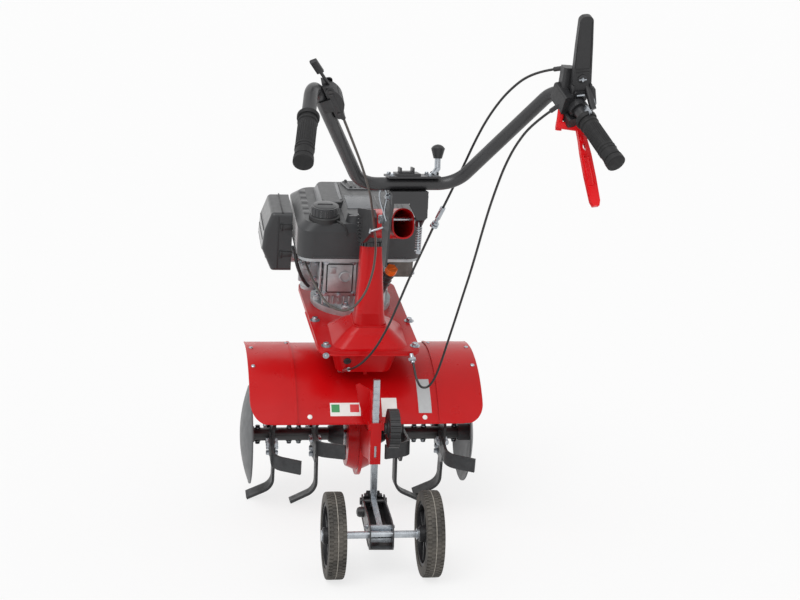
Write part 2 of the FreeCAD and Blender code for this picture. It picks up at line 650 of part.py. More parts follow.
muf_x0 = ex + 72.0 + 6.0
MUFFLER_LOW = 78.0
muffler = rounded(muf_x0, muf_x0 + 46, eu - 34, eu + 78, MUFFLER_LOW, CRANK_TOP - 8, 14.0)
muffler = muffler.fuse(box(ex + 62 + SEAT, muf_x0 + 10, eu + 66, eu + 76, 88, 120))
nodes["muffler"] = lean(muffler.removeSplitter())
heat = joined(
    box(muf_x0 + 51, muf_x0 + 54, eu - 52, eu + 84, MUFFLER_LOW + 4, CRANK_TOP - 2),
    box(muf_x0 - 2, muf_x0 + 54, eu - 52, eu - 49, MUFFLER_LOW + 4, CRANK_TOP - 2),
    box(muf_x0 - 2, muf_x0 + 54, eu - 52, eu + 84, CRANK_TOP - 5, CRANK_TOP - 2),
)
for k in range(4):
    for j in range(2):
        vent_u = eu - 34 + 28 * k
        vent_w = 92 + 24 * j
        vent = rounded(muf_x0 + 49, muf_x0 + 60, vent_u, vent_u + 12, vent_w, vent_w + 16, 2.0)
        heat = heat.cut(vent)
nodes["muffler_guard"] = lean(heat)

oil_base = V(ex + 58, eu - 66, 52)
oil_tip = V(ex + 74, eu - 92, 109)
oil_dir = (oil_tip - oil_base).normalize()
nodes["oil_filler"] = lean(rod(oil_base, oil_tip, 11.0).cut(crank_block))
oil_cap = rod(oil_tip + oil_dir * SEAT, oil_tip + oil_dir * 16, 14.5)
nodes["oil_cap"] = lean(oil_cap)

# ---- handlebar column and clevis, drawn straight ahead and then swung -----------------------
sx0, sy0 = SWIVEL
SLEEVE_LOW = NECK_TOP_Z + RING_T + SEAT
SLEEVE_R = 22.0
knuckle = rod(V(sx0, sy0, SLEEVE_LOW), V(sx0, sy0, POST_TOP - 4), SLEEVE_R)
# a toothed cheek on the left grips the column
CHEEK_X0 = sx0 - COLUMN_W / 2 - 8.0
CHEEK_X1 = sx0 - COLUMN_W / 2 - SEAT
CHEEK_TOP = POST_TOP + 6.0
cheek_pts = [(sy0 + 8, SLEEVE_LOW), (sy0 + 8, CHEEK_TOP), (sy0 - 120, CHEEK_TOP + 14),
             (sy0 - 136, CHEEK_TOP), (sy0 - 136, CHEEK_TOP - 26), (sy0 - 50, SLEEVE_LOW + 6),
             (sy0 - 30, SLEEVE_LOW)]
cheek_side = prism_x(cheek_pts, CHEEK_X0, CHEEK_X1)
knuckle = knuckle.fuse(cheek_side)
knuckle = knuckle.fuse(box(CHEEK_X0, sx0 - 4, sy0 - 24, sy0 + 6, SLEEVE_LOW, POST_TOP + 4))
for k in range(7):
    tooth_z = SLEEVE_LOW + 8.0 + 8.0 * k
    knuckle = knuckle.cut(box(CHEEK_X0 - 1, CHEEK_X0 + 3, sy0 - 30, sy0 + 10, tooth_z, tooth_z + 3.5))
bore = rod(V(sx0, sy0, SLEEVE_LOW - 5), V(sx0, sy0, POST_TOP + 10), POST_R + BORE_PLAY)
knuckle = knuckle.cut(bore).removeSplitter()
nodes["swivel_knuckle"] = swung(knuckle)

tube_start = V(sx0, sy0 - 8, SLEEVE_LOW + 39)
tube_end = V(0, COLUMN_END[0], COLUMN_END[1])
axis_dir = (tube_end - tube_start).normalize()

def column_tube(inset, first, last):
    """A length of the oval section, from first to last along the column."""
    corner = COLUMN_W / 2 - inset - 1
    face = Part.Face(round_rect(0, 0, first, COLUMN_W - 2 * inset, COLUMN_H - 2 * inset, corner))
    return framed(face.extrude(V(0, 0, last - first)), tube_start, axis_dir, V(1, 0, 0))


column_len = (tube_end - tube_start).Length
column = column_tube(0.0, 0.0, column_len)
column = column.cut(column_tube(COLUMN_WALL, 40.0, column_len + 2))
column = column.cut(rod(V(sx0, sy0, NECK_TOP_Z), V(sx0, sy0, POST_TOP + 40), SLEEVE_R + SEAT))
column = column.cut(box(CHEEK_X0 - 1, sx0 - 4 + SEAT, sy0 - 24 - SEAT, sy0 + 8, SLEEVE_LOW, POST_TOP + 5))
column = column.cut(box(-60, 60, sy0, sy0 + 60, NECK_TOP_Z, POST_TOP + 60))
cross = rod(V(-60, CLEVIS_BOLT[0], CLEVIS_BOLT[1]), V(60, CLEVIS_BOLT[0], CLEVIS_BOLT[1]), BOLT_R + SEAT)
column = column.cut(cross)
nodes["handlebar_column"] = swung(max(column.Solids, key=lambda solid: solid.Volume))

bar_y, bar_z = BAR_LOW
seat_z = bar_z - BAR_R
foot_y = CLEVIS_BOLT[0] - 18
foot_z = DECK_Z + 226.0
bolt_top = CLEVIS_BOLT[1] + 8.0
clevis_pts = [(bar_y - 24, seat_z), (bar_y + 24, seat_z), (bar_y + 52, CLEVIS_BOLT[1] + 14),
              (bar_y + 56, CLEVIS_BOLT[1] - 14), (foot_y + 15, foot_z + 14), (foot_y + 8, foot_z),
              (foot_y - 8, foot_z), (foot_y - 15, foot_z + 14), (bar_y - 8, bolt_top),
              (bar_y - 24, seat_z - 34)]
side_plate = prism_x(clevis_pts, -CLEVIS_HALF, -CLEVIS_HALF + CLEVIS_T)
# the right plate stops under the bolt, and its rear edge is turned in into an ear
short_pts = clevis_pts[:4] + [(CLEVIS_BOLT[0] - 16, CLEVIS_BOLT[1] - 20)] + clevis_pts[8:]
ear_left, ear_right = EAR_X
ear_low, ear_top = EAR_Z
ear_pts = [(ear_left, ear_top - 8), (ear_left + 5, ear_top), (ear_right - 4.5, ear_top),
           (ear_right, ear_top - 4), (ear_right, ear_low + 5), (ear_right - 5.5, ear_low),
           (ear_left + 18, ear_low), (ear_left + 13.5, ear_low + 5)]
ear_plate = prism_y(ear_pts, bar_y - 24, bar_y - 24 + CLEVIS_T)
clevis = joined(
    side_plate,
    prism_x(short_pts, CLEVIS_HALF - CLEVIS_T, CLEVIS_HALF),
    ear_plate,
    box(-CLEVIS_HALF, CLEVIS_HALF, bar_y - 24, bar_y + 24, seat_z - CLEVIS_T, seat_z),
    box(-CLEVIS_HALF, CLEVIS_HALF, bar_y - 24, bar_y - 20, seat_z - 24, seat_z),
)
clevis = clevis.cut(cross)
nodes["handlebar_clevis"] = swung(clevis)
bolt_y, bolt_z = CLEVIS_BOLT
bolt = rod(V(-CLEVIS_HALF - 8, bolt_y, bolt_z), V(CLEVIS_HALF + 8, bolt_y, bolt_z), BOLT_R)
bolt = bolt.fuse(rod(V(-CLEVIS_HALF - 8, bolt_y, bolt_z), V(-CLEVIS_HALF - SEAT, bolt_y, bolt_z), 9.0))
bolt = bolt.fuse(rod(V(CLEVIS_HALF + SEAT, bolt_y, bolt_z), V(CLEVIS_HALF + 8, bolt_y, bolt_z), 9.0))
nodes["clevis_bolt"] = swung(bolt.removeSplitter())

bend_x, bend_y, bend_z = BAR_BEND
end_x, end_y, end_z = BAR_END
bar_pts = [V(-end_x, end_y, end_z), V(-bend_x, bend_y, bend_z), V(-BAR_LOW_HALF, bar_y, bar_z),
           V(BAR_LOW_HALF, bar_y, bar_z), V(bend_x, bend_y, bend_z), V(end_x, end_y, end_z)]
BEND_R_TOP = 60.0
BEND_R_LOW = 58.0
bar_path = bent_path(bar_pts, [BEND_R_TOP, BEND_R_LOW, BEND_R_LOW, BEND_R_TOP])
bar = swept(bar_path, BAR_R).cut(swept(bar_path, BAR_R - BAR_WALL))
reach = end_x + BAR_R + BEND_R_TOP
left_half = box(-reach, 0, end_y - BEND_R_TOP, bar_y + BEND_R_TOP, bar_z - BEND_R_TOP, bend_z + BEND_R_TOP)
right_half = box(0, reach, end_y - BEND_R_TOP, bar_y + BEND_R_TOP, bar_z - BEND_R_TOP, bend_z + BEND_R_TOP)
nodes["handlebar_left"] = swung(bar.common(left_half))
nodes["handlebar_right"] = swung(bar.common(right_half))

hand_end = V(end_x, end_y, end_z)
hand_dir = (V(bend_x, bend_y, bend_z) - hand_end).normalize()
GRIP_CAP = 5.0
grip = sleeve(hand_end, hand_end + hand_dir * GRIP_LEN, GRIP_R, BAR_R + SEAT)
grip = grip.fuse(rod(hand_end - hand_dir * GRIP_CAP, hand_end - hand_dir * SEAT, GRIP_R + 1.5))
rim_low = hand_end - hand_dir * (SEAT + 1)
grip = grip.fuse(sleeve(rim_low, hand_end + hand_dir * 4, GRIP_R + 1.5, BAR_R + SEAT))
grip = grip.removeSplitter()
nodes["grips"] = swung(Part.makeCompound([grip, mirror_x(grip)]))

# clamp plate over the cross tube, with its lever at the right
top_z = bar_z + BAR_R
clamp = box(-44, 62, bar_y - 23, bar_y + 23, top_z, top_z + 4)
clamp = clamp.fuse(box(-26, 22, bar_y - 18, bar_y + 18, top_z + 4, top_z + 9))
nodes["clamp_plate"] = swung(clamp.removeSplitter())
LEVER_X = 68.0
LEVER_Y = bar_y + 27.0
LEVER_R = 6.0
lever_low = V(LEVER_X - 14, LEVER_Y - 16, top_z + 2)
lever_mid = V(LEVER_X, LEVER_Y, top_z + 14)
lever_top = V(LEVER_X + 1, LEVER_Y + 4, top_z + 46)
lever = rod(lever_low, lever_mid, LEVER_R)
lever = lever.fuse(Part.makeSphere(LEVER_R, lever_mid)).fuse(rod(lever_mid, lever_top, LEVER_R))
lever = lever.cut(box(-44, 62, bar_y - 23, bar_y + 23, top_z - 5, top_z + 4))
nodes["clamp_lever"] = swung(lever.removeSplitter())
knob_dir = (lever_top - lever_mid).normalize()
KNOB_TOP_R = 14.0
ball = cone(lever_top - knob_dir * 12, lever_top + knob_dir * 8, 8.5, KNOB_TOP_R)
crown = Part.makeSphere(KNOB_TOP_R + 2, lever_top + knob_dir * (8 - 7.7))
crown = crown.common(rod(lever_top + knob_dir * 8, lever_top + knob_dir * 30, KNOB_TOP_R))
ball = ball.fuse(crown)
ball = ball.cut(rod(lever_mid, lever_top, LEVER_R + SEAT)).removeSplitter()
nodes["clamp_lever_knob"] = swung(ball)

# ---- controls ---------------------------------------------------------------------------
low_pt = V(BAR_LOW_HALF, bar_y, bar_z)
bend_pt = V(bend_x, bend_y, bend_z)
arm_dir = (bend_pt - low_pt).normalize()


mirror_low = V(-low_pt.x, low_pt.y, low_pt.z)
mirror_bend = V(-bend_pt.x, bend_pt.y, bend_pt.z)
left_dir = (mirror_bend - mirror_low).normalize()
throttle_mid = mirror_low + left_dir * THROTTLE_AT + V(21, -8, 8)
lens = box(-11, 16, -12, 12, -44, 52)
lens = lens.common(Part.makeCylinder(62.0, 24, V(-47, -12, 2), V(0, 1, 0)))
lens = lens.fuse(rounded(-9, 5, -9, 9, -50, -36, 3.0)).removeSplitter()
body = framed(lens, throttle_mid, left_dir, V(1, 0, 0))
saddle_mid = mirror_low + left_dir * THROTTLE_AT + V(6, -2, 2)
saddle = frame_block(saddle_mid, left_dir, V(1, 0, 0), 34, 26, 30, 5.0)
body = body.fuse(saddle)
body = body.cut(swept(bar_path, BAR_R + SEAT))
nodes["throttle_body"] = swung(body.removeSplitter())
throttle_pivot = throttle_mid + left_dir * 42
throttle_tip = throttle_pivot + V(-30, -34, 34)
t_dir = (throttle_tip - throttle_pivot).normalize()
t_lever = rod(throttle_pivot, throttle_tip, 3.0)
t_lever = t_lever.fuse(frame_block(throttle_tip, t_dir, V(1, 0, 0), 34, 14, 8, 2.5))
t_lever = t_lever.cut(framed(lens, throttle_mid, left_dir, V(1, 0, 0)))
nodes["throttle_lever"] = swung(max(t_lever.Solids, key=lambda solid: solid.Volume))

mount_mid = bend_pt - hand_dir * MOUNT_AT
mount = sleeve(mount_mid + hand_dir * 17, mount_mid - hand_dir * 17, BAR_R + 6, BAR_R + SEAT)
ear = frame_block(mount_mid + V(2, 0, 24), hand_dir, V(1, 0, 0), 30, 30, 24, 4.0)
ear = ear.fuse(frame_block(mount_mid + V(-24, 8, 12), hand_dir, V(1, 0, 0), 46, 20, 40, 4.0))
under = frame_block(mount_mid + V(-6, 4, -26), hand_dir, V(1, 0, 0), 26, 26, 20, 4.0)
cable_box = frame_block(mount_mid + CABLE_BOX, V(0.05, -0.2, 1), V(1, 0, 0), 74, 24, 26, 5.0)
mount = joined(mount, ear, under, cable_box).cut(rod(bend_pt + hand_dir * 9, hand_end, BAR_R + SEAT))
mount = mount.cut(swept(bar_path, BAR_R + SEAT))
nodes["lever_mount"] = swung(max(mount.Solids, key=lambda solid: solid.Volume))

lever_foot = mount_mid + V(4, -12, 38)
lever_head = V(242, -768, DECK_Z + 745)
clutch_dir = (lever_head - lever_foot).normalize()
clutch_len = (lever_head - lever_foot).Length
TIP_HALF = 12.5
blade_pts = [(-19, -8), (19, -8), (17.5, 30), (15.5, 84), (TIP_HALF, clutch_len),
             (-TIP_HALF, clutch_len), (-15.5, 84), (-17.5, 30)]
blade = prism_y(blade_pts, -6, 6)
tip_edges = []
for edge in blade.Edges:
    middle = edge.CenterOfMass
    if abs(middle.z - clutch_len) < 0.01 and abs(abs(middle.x) - TIP_HALF) < 0.01:
        tip_edges.append(edge)
blade = blade.makeFillet(TIP_HALF - 2.0, tip_edges)
clutch = framed(blade, lever_foot, clutch_dir, V(1, 0, 0))
jaw_mid = lever_foot + V(16, -6, -18)
clutch = clutch.fuse(frame_block(jaw_mid, V(0.2, -0.35, -1), V(1, 0, 0), 56, 12, 11, 4.0))
clutch = clutch.cut(mount)
nodes["clutch_lever"] = swung(max(clutch.Solids, key=lambda solid: solid.Volume))

REV_SIDE = V(-26, 18, -6)       # beside the lever clamp, from its middle
REV_HEAD = V(0, -10, -14)       # the cable arm, from there
REV_ROOT = V(38, -16, -41)      # the root of the hanging blade
rev_side = mount_mid + REV_SIDE
rev_root = rev_side + REV_ROOT
rev_tip = V(279, -768, DECK_Z + 395)
rev_dir = (rev_tip - rev_root).normalize()
rev_len = (rev_tip - rev_root).Length
rev_pts = [(-7, -5), (7, -5), (9, 22), (11, 50), (11, 96), (9.5, rev_len - 10), (6, rev_len),
           (-6, rev_len), (-9.5, rev_len - 10), (-10.5, 90), (-9.5, 46), (-7.5, 20)]
# a drop-shaped hole near the root and a long finger groove below it
REV_HOLE = [(-2.5, 29), (2.5, 29), (3.2, 37), (0, 45), (-3.2, 37)]
REV_GROOVE = (54.0, 108.0)
GROOVE_HALF = 4.6
GROOVE_DEEP = 2.4
rev_blade = prism_y(rev_pts, -5, 5).cut(prism_y(REV_HOLE, -6, 6))
groove = rounded(-GROOVE_HALF, GROOVE_HALF, 5 - GROOVE_DEEP, 10, REV_GROOVE[0], REV_GROOVE[1], 2.0)
rev_blade = rev_blade.cut(groove)
reverse = framed(rev_blade, rev_root, rev_dir, V(1, 0, 0))
reverse = reverse.fuse(frame_block(rev_side + REV_HEAD, V(0.06, -0.1, 1), V(1, 0, 0), 58, 11, 10, 3.0))
knee_mid = rev_side + V(18, -13, -35)
reverse = reverse.fuse(frame_block(knee_mid, V(1, -0.1, -0.12), V(0, 0, 1), 52, 14, 9, 3.0))
reverse = reverse.cut(rod(bend_pt + hand_dir * 60, hand_end - hand_dir * 20, BAR_R + 6.0 + SEAT))
reverse = reverse.cut(mount)
nodes["reverse_lever"] = swung(max(reverse.Solids, key=lambda solid: solid.Volume))

# ---- wheel strut, arm and wheels -----------------------------------------------------------
half = STRUT_SIDE / 2
strut = rounded(-half, half, STRUT_Y - half, STRUT_Y + half, STRUT_FOOT_Z, STRUT_TOP_Z, 1.5)
for k in range(7):
    nick_z = STRUT_TOP_Z - 14.0 - 14.0 * k
    nick_y = STRUT_Y - half
    strut = strut.cut(box(-half - 1, half + 1, nick_y - 1, nick_y + 1.6, nick_z - 2, nick_z + 2))
nodes["strut_bar"] = strut

ARM_FRONT = STRUT_Y + 16.0
ARM_REAR = WHEEL_Y - 26.0
PIN_Z = 93.0
PIN_R = 5.0


def skewed(shape):
    """The arm stands a few degrees off square, turned about the strut."""
    out = shape.copy()
    out.rotate(V(0, STRUT_Y, 0), V(0, 0, 1), ARM_SKEW)
    return out


side_pts = [(ARM_FRONT, 68.0), (ARM_FRONT, 100.0), (ARM_FRONT - 8, 106.0), (ARM_FRONT - 26, 106.0),
            (ARM_FRONT - 32, 100.0), (ARM_FRONT - 52, 104.0), (WHEEL_Y + 30, 112.0), (WHEEL_Y - 12, 110.0),
            (ARM_REAR, 98.0), (ARM_REAR, 70.0), (ARM_REAR + 8, 62.0), (WHEEL_Y + 20, 60.0)]
cheek = prism_x(side_pts, ARM_HALF - ARM_T, ARM_HALF)
floor_pts = [(ARM_FRONT, 68.0), (ARM_FRONT, 68.0 + ARM_T), (WHEEL_Y + 20, 60.0 + ARM_T),
             (ARM_REAR + 8, 62.0 + ARM_T), (ARM_REAR + 8, 62.0), (WHEEL_Y + 20, 60.0)]
arm_web_pts = [(-ARM_HALF, 68.0), (ARM_HALF, 68.0), (ARM_HALF, 96.0), (17.0, 100.0), (14.0, 112.0),
               (-14.0, 112.0), (-17.0, 100.0), (-ARM_HALF, 96.0)]
arm_web = prism_y(arm_web_pts, ARM_FRONT - ARM_T, ARM_FRONT)
arm = joined(cheek, mirror_x(cheek), prism_x(floor_pts, -ARM_HALF, ARM_HALF), arm_web)
axle_bore = rod(V(-70, WHEEL_Y, WHEEL_R), V(70, WHEEL_Y, WHEEL_R), AXLE_R + SEAT)
arm = skewed(arm).cut(axle_bore)
pin_bore = rod(V(-60, STRUT_Y, PIN_Z), V(60, STRUT_Y, PIN_Z), PIN_R + SEAT)
nodes["wheel_arm"] = arm.cut(skewed(pin_bore))
nodes["strut_bar"] = strut.cut(skewed(pin_bore))
pin = rod(V(-ARM_HALF - 4, STRUT_Y, PIN_Z), V(ARM_HALF + 4, STRUT_Y, PIN_Z), PIN_R)
pin = pin.fuse(rod(V(-ARM_HALF - 4, STRUT_Y, PIN_Z), V(-ARM_HALF - SEAT, STRUT_Y, PIN_Z), 8.0))
pin = pin.fuse(rod(V(ARM_HALF + SEAT, STRUT_Y, PIN_Z), V(ARM_HALF + 4, STRUT_Y, PIN_Z), 8.0))
stop = rod(V(-ARM_HALF - 9, STRUT_Y - 60, 88), V(-ARM_HALF - SEAT, STRUT_Y - 60, 88), 11.0)
nodes["arm_pins"] = skewed(Part.makeCompound([pin.removeSplitter(), stop]))

link_a = V(0, STRUT_Y - half - SEAT - 1, 97)
link_b = V(0, WHEEL_Y + 14, WHEEL_R + 6)
link_line = link_b - link_a
link = frame_block((link_a + link_b) * 0.5, link_line, V(1, 0, 0), link_line.Length, 13, 6, 1.5)
inside = ARM_HALF - ARM_T - SEAT
link = link.fuse(box(-inside, inside, WHEEL_Y + 11, WHEEL_Y + 15, 68, 104))
nodes["arm_link"] = skewed(link.removeSplitter()).cut(axle_bore)

axle_half = WHEEL_X + WHEEL_W / 2 + 7.0
wheel_axle = rod(V(-axle_half, WHEEL_Y, WHEEL_R), V(axle_half, WHEEL_Y, WHEEL_R), AXLE_R)
collar_x = WHEEL_X - WHEEL_W / 2 - 4.0
for sx in (-1, 1):
    wheel_axle = wheel_axle.fuse(rod(V(sx * (collar_x - 5), WHEEL_Y, WHEEL_R),
                                     V(sx * collar_x, WHEEL_Y, WHEEL_R), AXLE_R + 4.0))
    wheel_axle = wheel_axle.fuse(rod(V(sx * (axle_half - 4), WHEEL_Y, WHEEL_R),
                                     V(sx * axle_half, WHEEL_Y, WHEEL_R), AXLE_R + 4.0))
wheel_axle = wheel_axle.removeSplitter()
wheel_axle.translate(V(WHEEL_MID, 0, 0))
nodes["wheel_axle"] = wheel_axle


def wheel_at(x):
    hub = V(x, WHEEL_Y, WHEEL_R)
    ax = V(1, 0, 0)
    hw = WHEEL_W / 2
    tyre = sleeve(hub - ax * hw, hub + ax * hw, WHEEL_R, RIM_R)
    rings = [edge for edge in tyre.Edges if edge.Curve.TypeId == "Part::GeomCircle"]
    shoulders = [edge for edge in rings if edge.Curve.Radius > RIM_R + 5]
    tyre = tyre.makeFillet(9.0, shoulders)
    rim = sleeve(hub - ax * (hw - 2), hub + ax * (hw - 2), RIM_R, RIM_R - 7.0)
    web_plate = sleeve(hub - ax * 3, hub + ax * 3, RIM_R - 6.0, 15.0)
    for k in range(6):
        hole = rod(hub - ax * 10, hub + ax * 10, 11.0)
        hole.translate(V(0, 42, 0))
        hole.rotate(hub, ax, 60.0 * k)
        web_plate = web_plate.cut(hole)
    boss = rod(hub - ax * (hw + 2), hub + ax * (hw + 2), 17.0)
    rim = joined(rim, web_plate, boss)
    for k in range(6):
        spoke = box(x - hw + 6, x + hw - 6, WHEEL_Y + 12, WHEEL_Y + RIM_R - 5, WHEEL_R - 2.5, WHEEL_R + 2.5)
        spoke.rotate(hub, ax, 60.0 * k + 30.0)
        rim = rim.fuse(spoke)
    rim = rim.cut(rod(hub - ax * 60, hub + ax * 60, AXLE_R + BORE_PLAY)).removeSplitter()
    return tyre, rim


nodes["tyre_left"], nodes["rim_left"] = wheel_at(WHEEL_MID - WHEEL_X)
nodes["tyre_right"], nodes["rim_right"] = wheel_at(WHEEL_MID + WHEEL_X)

# ---- cables: outer sheaths on their real routes ---------------------------------------------
CLUTCH_ROUTE = [(271, -640, 1041), (242, -583, 1031), (207, -534, 992), (181, -492, 942), (164, -449, 889),
                (147, -415, 830), (126, -389, 769), (103, -363, 707), (83, -336, 646), (62, -310, 584),
                (43, -286, 521), (23, -261, 458), (-3, -235, 402), (-33, -207, 364), (-44, -174, 354)]
REVERSE_ROUTE = [(264, -655, 964), (238, -616, 935), (219, -573, 893), (208, -530, 847), (201, -493, 800),
                 (195, -457, 751), (190, -424, 701), (185, -392, 649), (179, -361, 597), (171, -332, 544),
                 (163, -304, 491), (154, -278, 438), (145, -260, 390), (134, -249, 350), (121, -243, 329),
                 (106, -240, 328), (98, -235, 342), (95, -225, 354),
                 (94, -216, 365), (92, -209, 376)]
THROTTLE_ROUTE = [(-121, -599, 938), (-100, -573, 894), (-80, -545, 852), (-63, -510, 813), (-48, -470, 777),
                  (-38, -428, 744), (-28, -384, 712), (-19, -338, 684), (-9, -292, 655), (-3, -248, 621),
                  (-3, -218, 576), (-18, -207, 524), (-52, -203, 486), (-91, -173, 493), (-112, -129, 523),
                  (-123, -79, 547), (-126, -28, 558), (-127, 5, 563)]
ARC_SHARE = 0.45


def cable(name, route):
    pts = [V(*p) for p in route]
    radii = []
    for i in range(1, len(pts) - 1):
        a = pts[i] - pts[i - 1]
        b = pts[i + 1] - pts[i]
        radii.append(ARC_SHARE * min(a.Length, b.Length) / math.tan(a.getAngle(b) / 2))
    path = bent_path(pts, radii)
    tube = swept(path, CABLE_R)
    ideal = math.pi * CABLE_R ** 2 * path.Length
    print("%s: %.0f mm, volume %.4f of section x length" % (name, path.Length, tube.Volume / ideal))
    print("  radii", " ".join("%.0f" % r for r in radii))
    nodes[name] = tube


cable("clutch_cable", CLUTCH_ROUTE)
cable("reverse_cable", REVERSE_ROUTE)
cable("throttle_cable", THROTTLE_ROUTE)
CABLES = ("clutch_cable", "reverse_cable", "throttle_cable")


def ferrule(tip, inner, length, *hosts):
    """A short barrel from the sheath's cut end into the piece that holds it."""
    a = V(*tip)
    d = (a - V(*inner)).normalize()
    barrel = rod(a, a + d * length, FERRULE_R)
    for host in hosts:
        barrel = barrel.cut(nodes[host])
    near = a + d * (SEAT / 2)
    return min(barrel.Solids, key=lambda solid: solid.distToShape(Part.Vertex(near))[0])


nodes["handle_ferrules"] = Part.makeCompound([
    ferrule(CLUTCH_ROUTE[0], CLUTCH_ROUTE[1], 40, "lever_mount", "clutch_lever"),
    ferrule(REVERSE_ROUTE[0], REVERSE_ROUTE[1], 60, "reverse_lever", "lever_mount"),
    ferrule(THROTTLE_ROUTE[0], THROTTLE_ROUTE[1], 30, "throttle_body"),
])
nodes["frame_ferrules"] = Part.makeCompound([
    ferrule(CLUTCH_ROUTE[-1], CLUTCH_ROUTE[-2], 50, "clutch_housing", "frame_plate"),
    ferrule(REVERSE_ROUTE[-1], REVERSE_ROUTE[-2], 21, "frame_plate", "clutch_housing"),
    ferrule(THROTTLE_ROUTE[-1], THROTTLE_ROUTE[-2], 50, "carburettor", "crankcase", "cylinder"),
])

# ---- to the footprint's middle on the floor, and out ----------------------------------------
whole = FreeCAD.BoundBox()
for name, shape in nodes.items():
    if name not in CABLES:
        whole.add(shape.optimalBoundingBox(False, False))
shift = V(-whole.Center.x, -whole.Center.y, -whole.ZMin)
print("shift %.3f %.3f %.3f" % (shift.x, shift.y, shift.z))
print("size %.3f %.3f %.3f" % (whole.XLength, whole.YLength, whole.ZLength))
for name, shape in nodes.items():
    shape.translate(shift)
    shape.exportStep("parts/%s.step" % name)
for label, point in (
    ("rotor_spin", V(0, 0, AXLE_Z)),
    ("handlebar_swing", V(SWIVEL[0], SWIVEL[1], SLEEVE_LOW)),
    ("strut_slide", V(0, STRUT_Y, (hz0 + hz1) / 2)),
    ("wheel_spin_left", V(WHEEL_MID - WHEEL_X, WHEEL_Y, WHEEL_R)),
    ("wheel_spin_right", V(WHEEL_MID + WHEEL_X, WHEEL_Y, WHEEL_R)),
):
    p = point + shift
    print("point %s %.3f %.3f %.3f" % (label, p.x, p.y, p.z))
for label, hole_x in zip(("left", "right"), MOUNT_HOLE_X):
    mark = lean(Part.Vertex(hole_x, MOUNT_HOLE_U, -PLATE_T / 2)).Vertexes[0].Point + shift
    print("point mount_hole_%s %.3f %.3f %.3f" % (label, mark.x, mark.y, mark.z))
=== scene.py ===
# %% [markdown]
# # A petrol garden tiller
# The construction model gives every load-carrying piece its true shape and place. This lesson
# dresses it: each surface gets the finish that the real one has, and the small things that a
# workshop adds last, such as bolts, tread, springs, cables and labels, are modelled on top.

# %% Load the construction model
import json
import math
import bpy
import bmesh
from mathutils import Matrix, Vector

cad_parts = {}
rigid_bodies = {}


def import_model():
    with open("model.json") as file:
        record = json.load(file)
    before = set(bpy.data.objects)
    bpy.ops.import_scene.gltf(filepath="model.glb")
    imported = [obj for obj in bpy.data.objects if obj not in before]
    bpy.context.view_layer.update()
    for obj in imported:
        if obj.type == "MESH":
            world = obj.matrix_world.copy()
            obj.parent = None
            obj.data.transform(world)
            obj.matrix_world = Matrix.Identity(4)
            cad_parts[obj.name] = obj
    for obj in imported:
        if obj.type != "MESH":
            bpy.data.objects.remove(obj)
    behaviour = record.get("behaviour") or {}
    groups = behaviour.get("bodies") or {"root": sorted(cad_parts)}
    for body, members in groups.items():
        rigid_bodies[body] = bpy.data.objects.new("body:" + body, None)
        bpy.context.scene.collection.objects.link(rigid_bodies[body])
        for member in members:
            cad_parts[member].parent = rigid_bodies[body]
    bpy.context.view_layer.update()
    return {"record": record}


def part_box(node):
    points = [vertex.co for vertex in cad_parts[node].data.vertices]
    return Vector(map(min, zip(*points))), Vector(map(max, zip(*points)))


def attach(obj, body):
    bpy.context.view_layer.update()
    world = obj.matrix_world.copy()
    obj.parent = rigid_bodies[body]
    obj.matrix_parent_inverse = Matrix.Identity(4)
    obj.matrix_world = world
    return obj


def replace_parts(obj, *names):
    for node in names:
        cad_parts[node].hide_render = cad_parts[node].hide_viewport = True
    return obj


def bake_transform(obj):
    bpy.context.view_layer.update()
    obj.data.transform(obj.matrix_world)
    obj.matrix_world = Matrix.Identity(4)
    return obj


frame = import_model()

# %% [markdown]
# ## One frame for everything
# A tiller is drawn most easily in millimetres from the middle of its rotor axle, with X to the
# operator's right, Y forward and Z up. The model's own frame has its origin under the middle of
# the whole machine, so one matrix takes a drawing from the first frame to the second. The engine
# and the frame plate lean back, and the handlebar stands turned a little on its swivel: each of
# those gets a matrix too, so that a bolt on the leaning plate can be given by plain numbers.


# %% The machine frame, the leaning frame and the turned handlebar
def at(x, y, z):
    """A move by x, y and z."""
    return Matrix.Translation((x, y, z))


def spun(degrees, axis):
    """A turn about the X, Y or Z axis."""
    return Matrix.Rotation(math.radians(degrees), 4, axis)


shaft_low, shaft_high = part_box("rotor_shaft")
AXLE_MID = Vector(((shaft_low[0] + shaft_high[0]) / 2, (shaft_low[1] + shaft_high[1]) / 2, 0))
MACHINE = Matrix.Translation(AXLE_MID) @ Matrix.Scale(0.001, 4)
PLATE_Y, PLATE_Z, PLATE_TILT = -200, 400, 12.5
LEAN = at(0, PLATE_Y, PLATE_Z) @ spun(PLATE_TILT, "X")
SWIVEL_Y, BAR_TURN = -165, 5.7
SWING = at(0, SWIVEL_Y, 0) @ spun(BAR_TURN, "Z") @ at(0, -SWIVEL_Y, 0)
AXLE_Z = 162
print("rotor axle at", [round(v, 4) for v in MACHINE @ Vector((0, 0, AXLE_Z))])

# %% [markdown]
# ## Materials
# Every finish starts as one Principled shader with a measured-looking colour and gloss. What
# makes it read as paint, steel or rubber is how that colour and gloss change over a few
# millimetres: the skin of powder coat, the grain of a sand casting, the scratches on zinc.
# Object coordinates are in metres on every piece here, so a pattern's size can be given in
# millimetres and turned into a noise scale.


# %% Colours from sRGB hex, and the function that adds a node
def srgb(text):
    """Linear colour from an sRGB hex value."""
    parts = [int(text[i:i + 2], 16) / 255 for i in (0, 2, 4)]
    return [p / 12.92 if p <= 0.04045 else ((p + 0.055) / 1.055) ** 2.4 for p in parts] + [1.0]


def join(material, out, into):
    """Link one node's output to another's input."""
    material.node_tree.links.new(out, into)


def shader_of(material):
    """The Principled shader that every finish starts from."""
    return material.node_tree.nodes["Principled BSDF"]


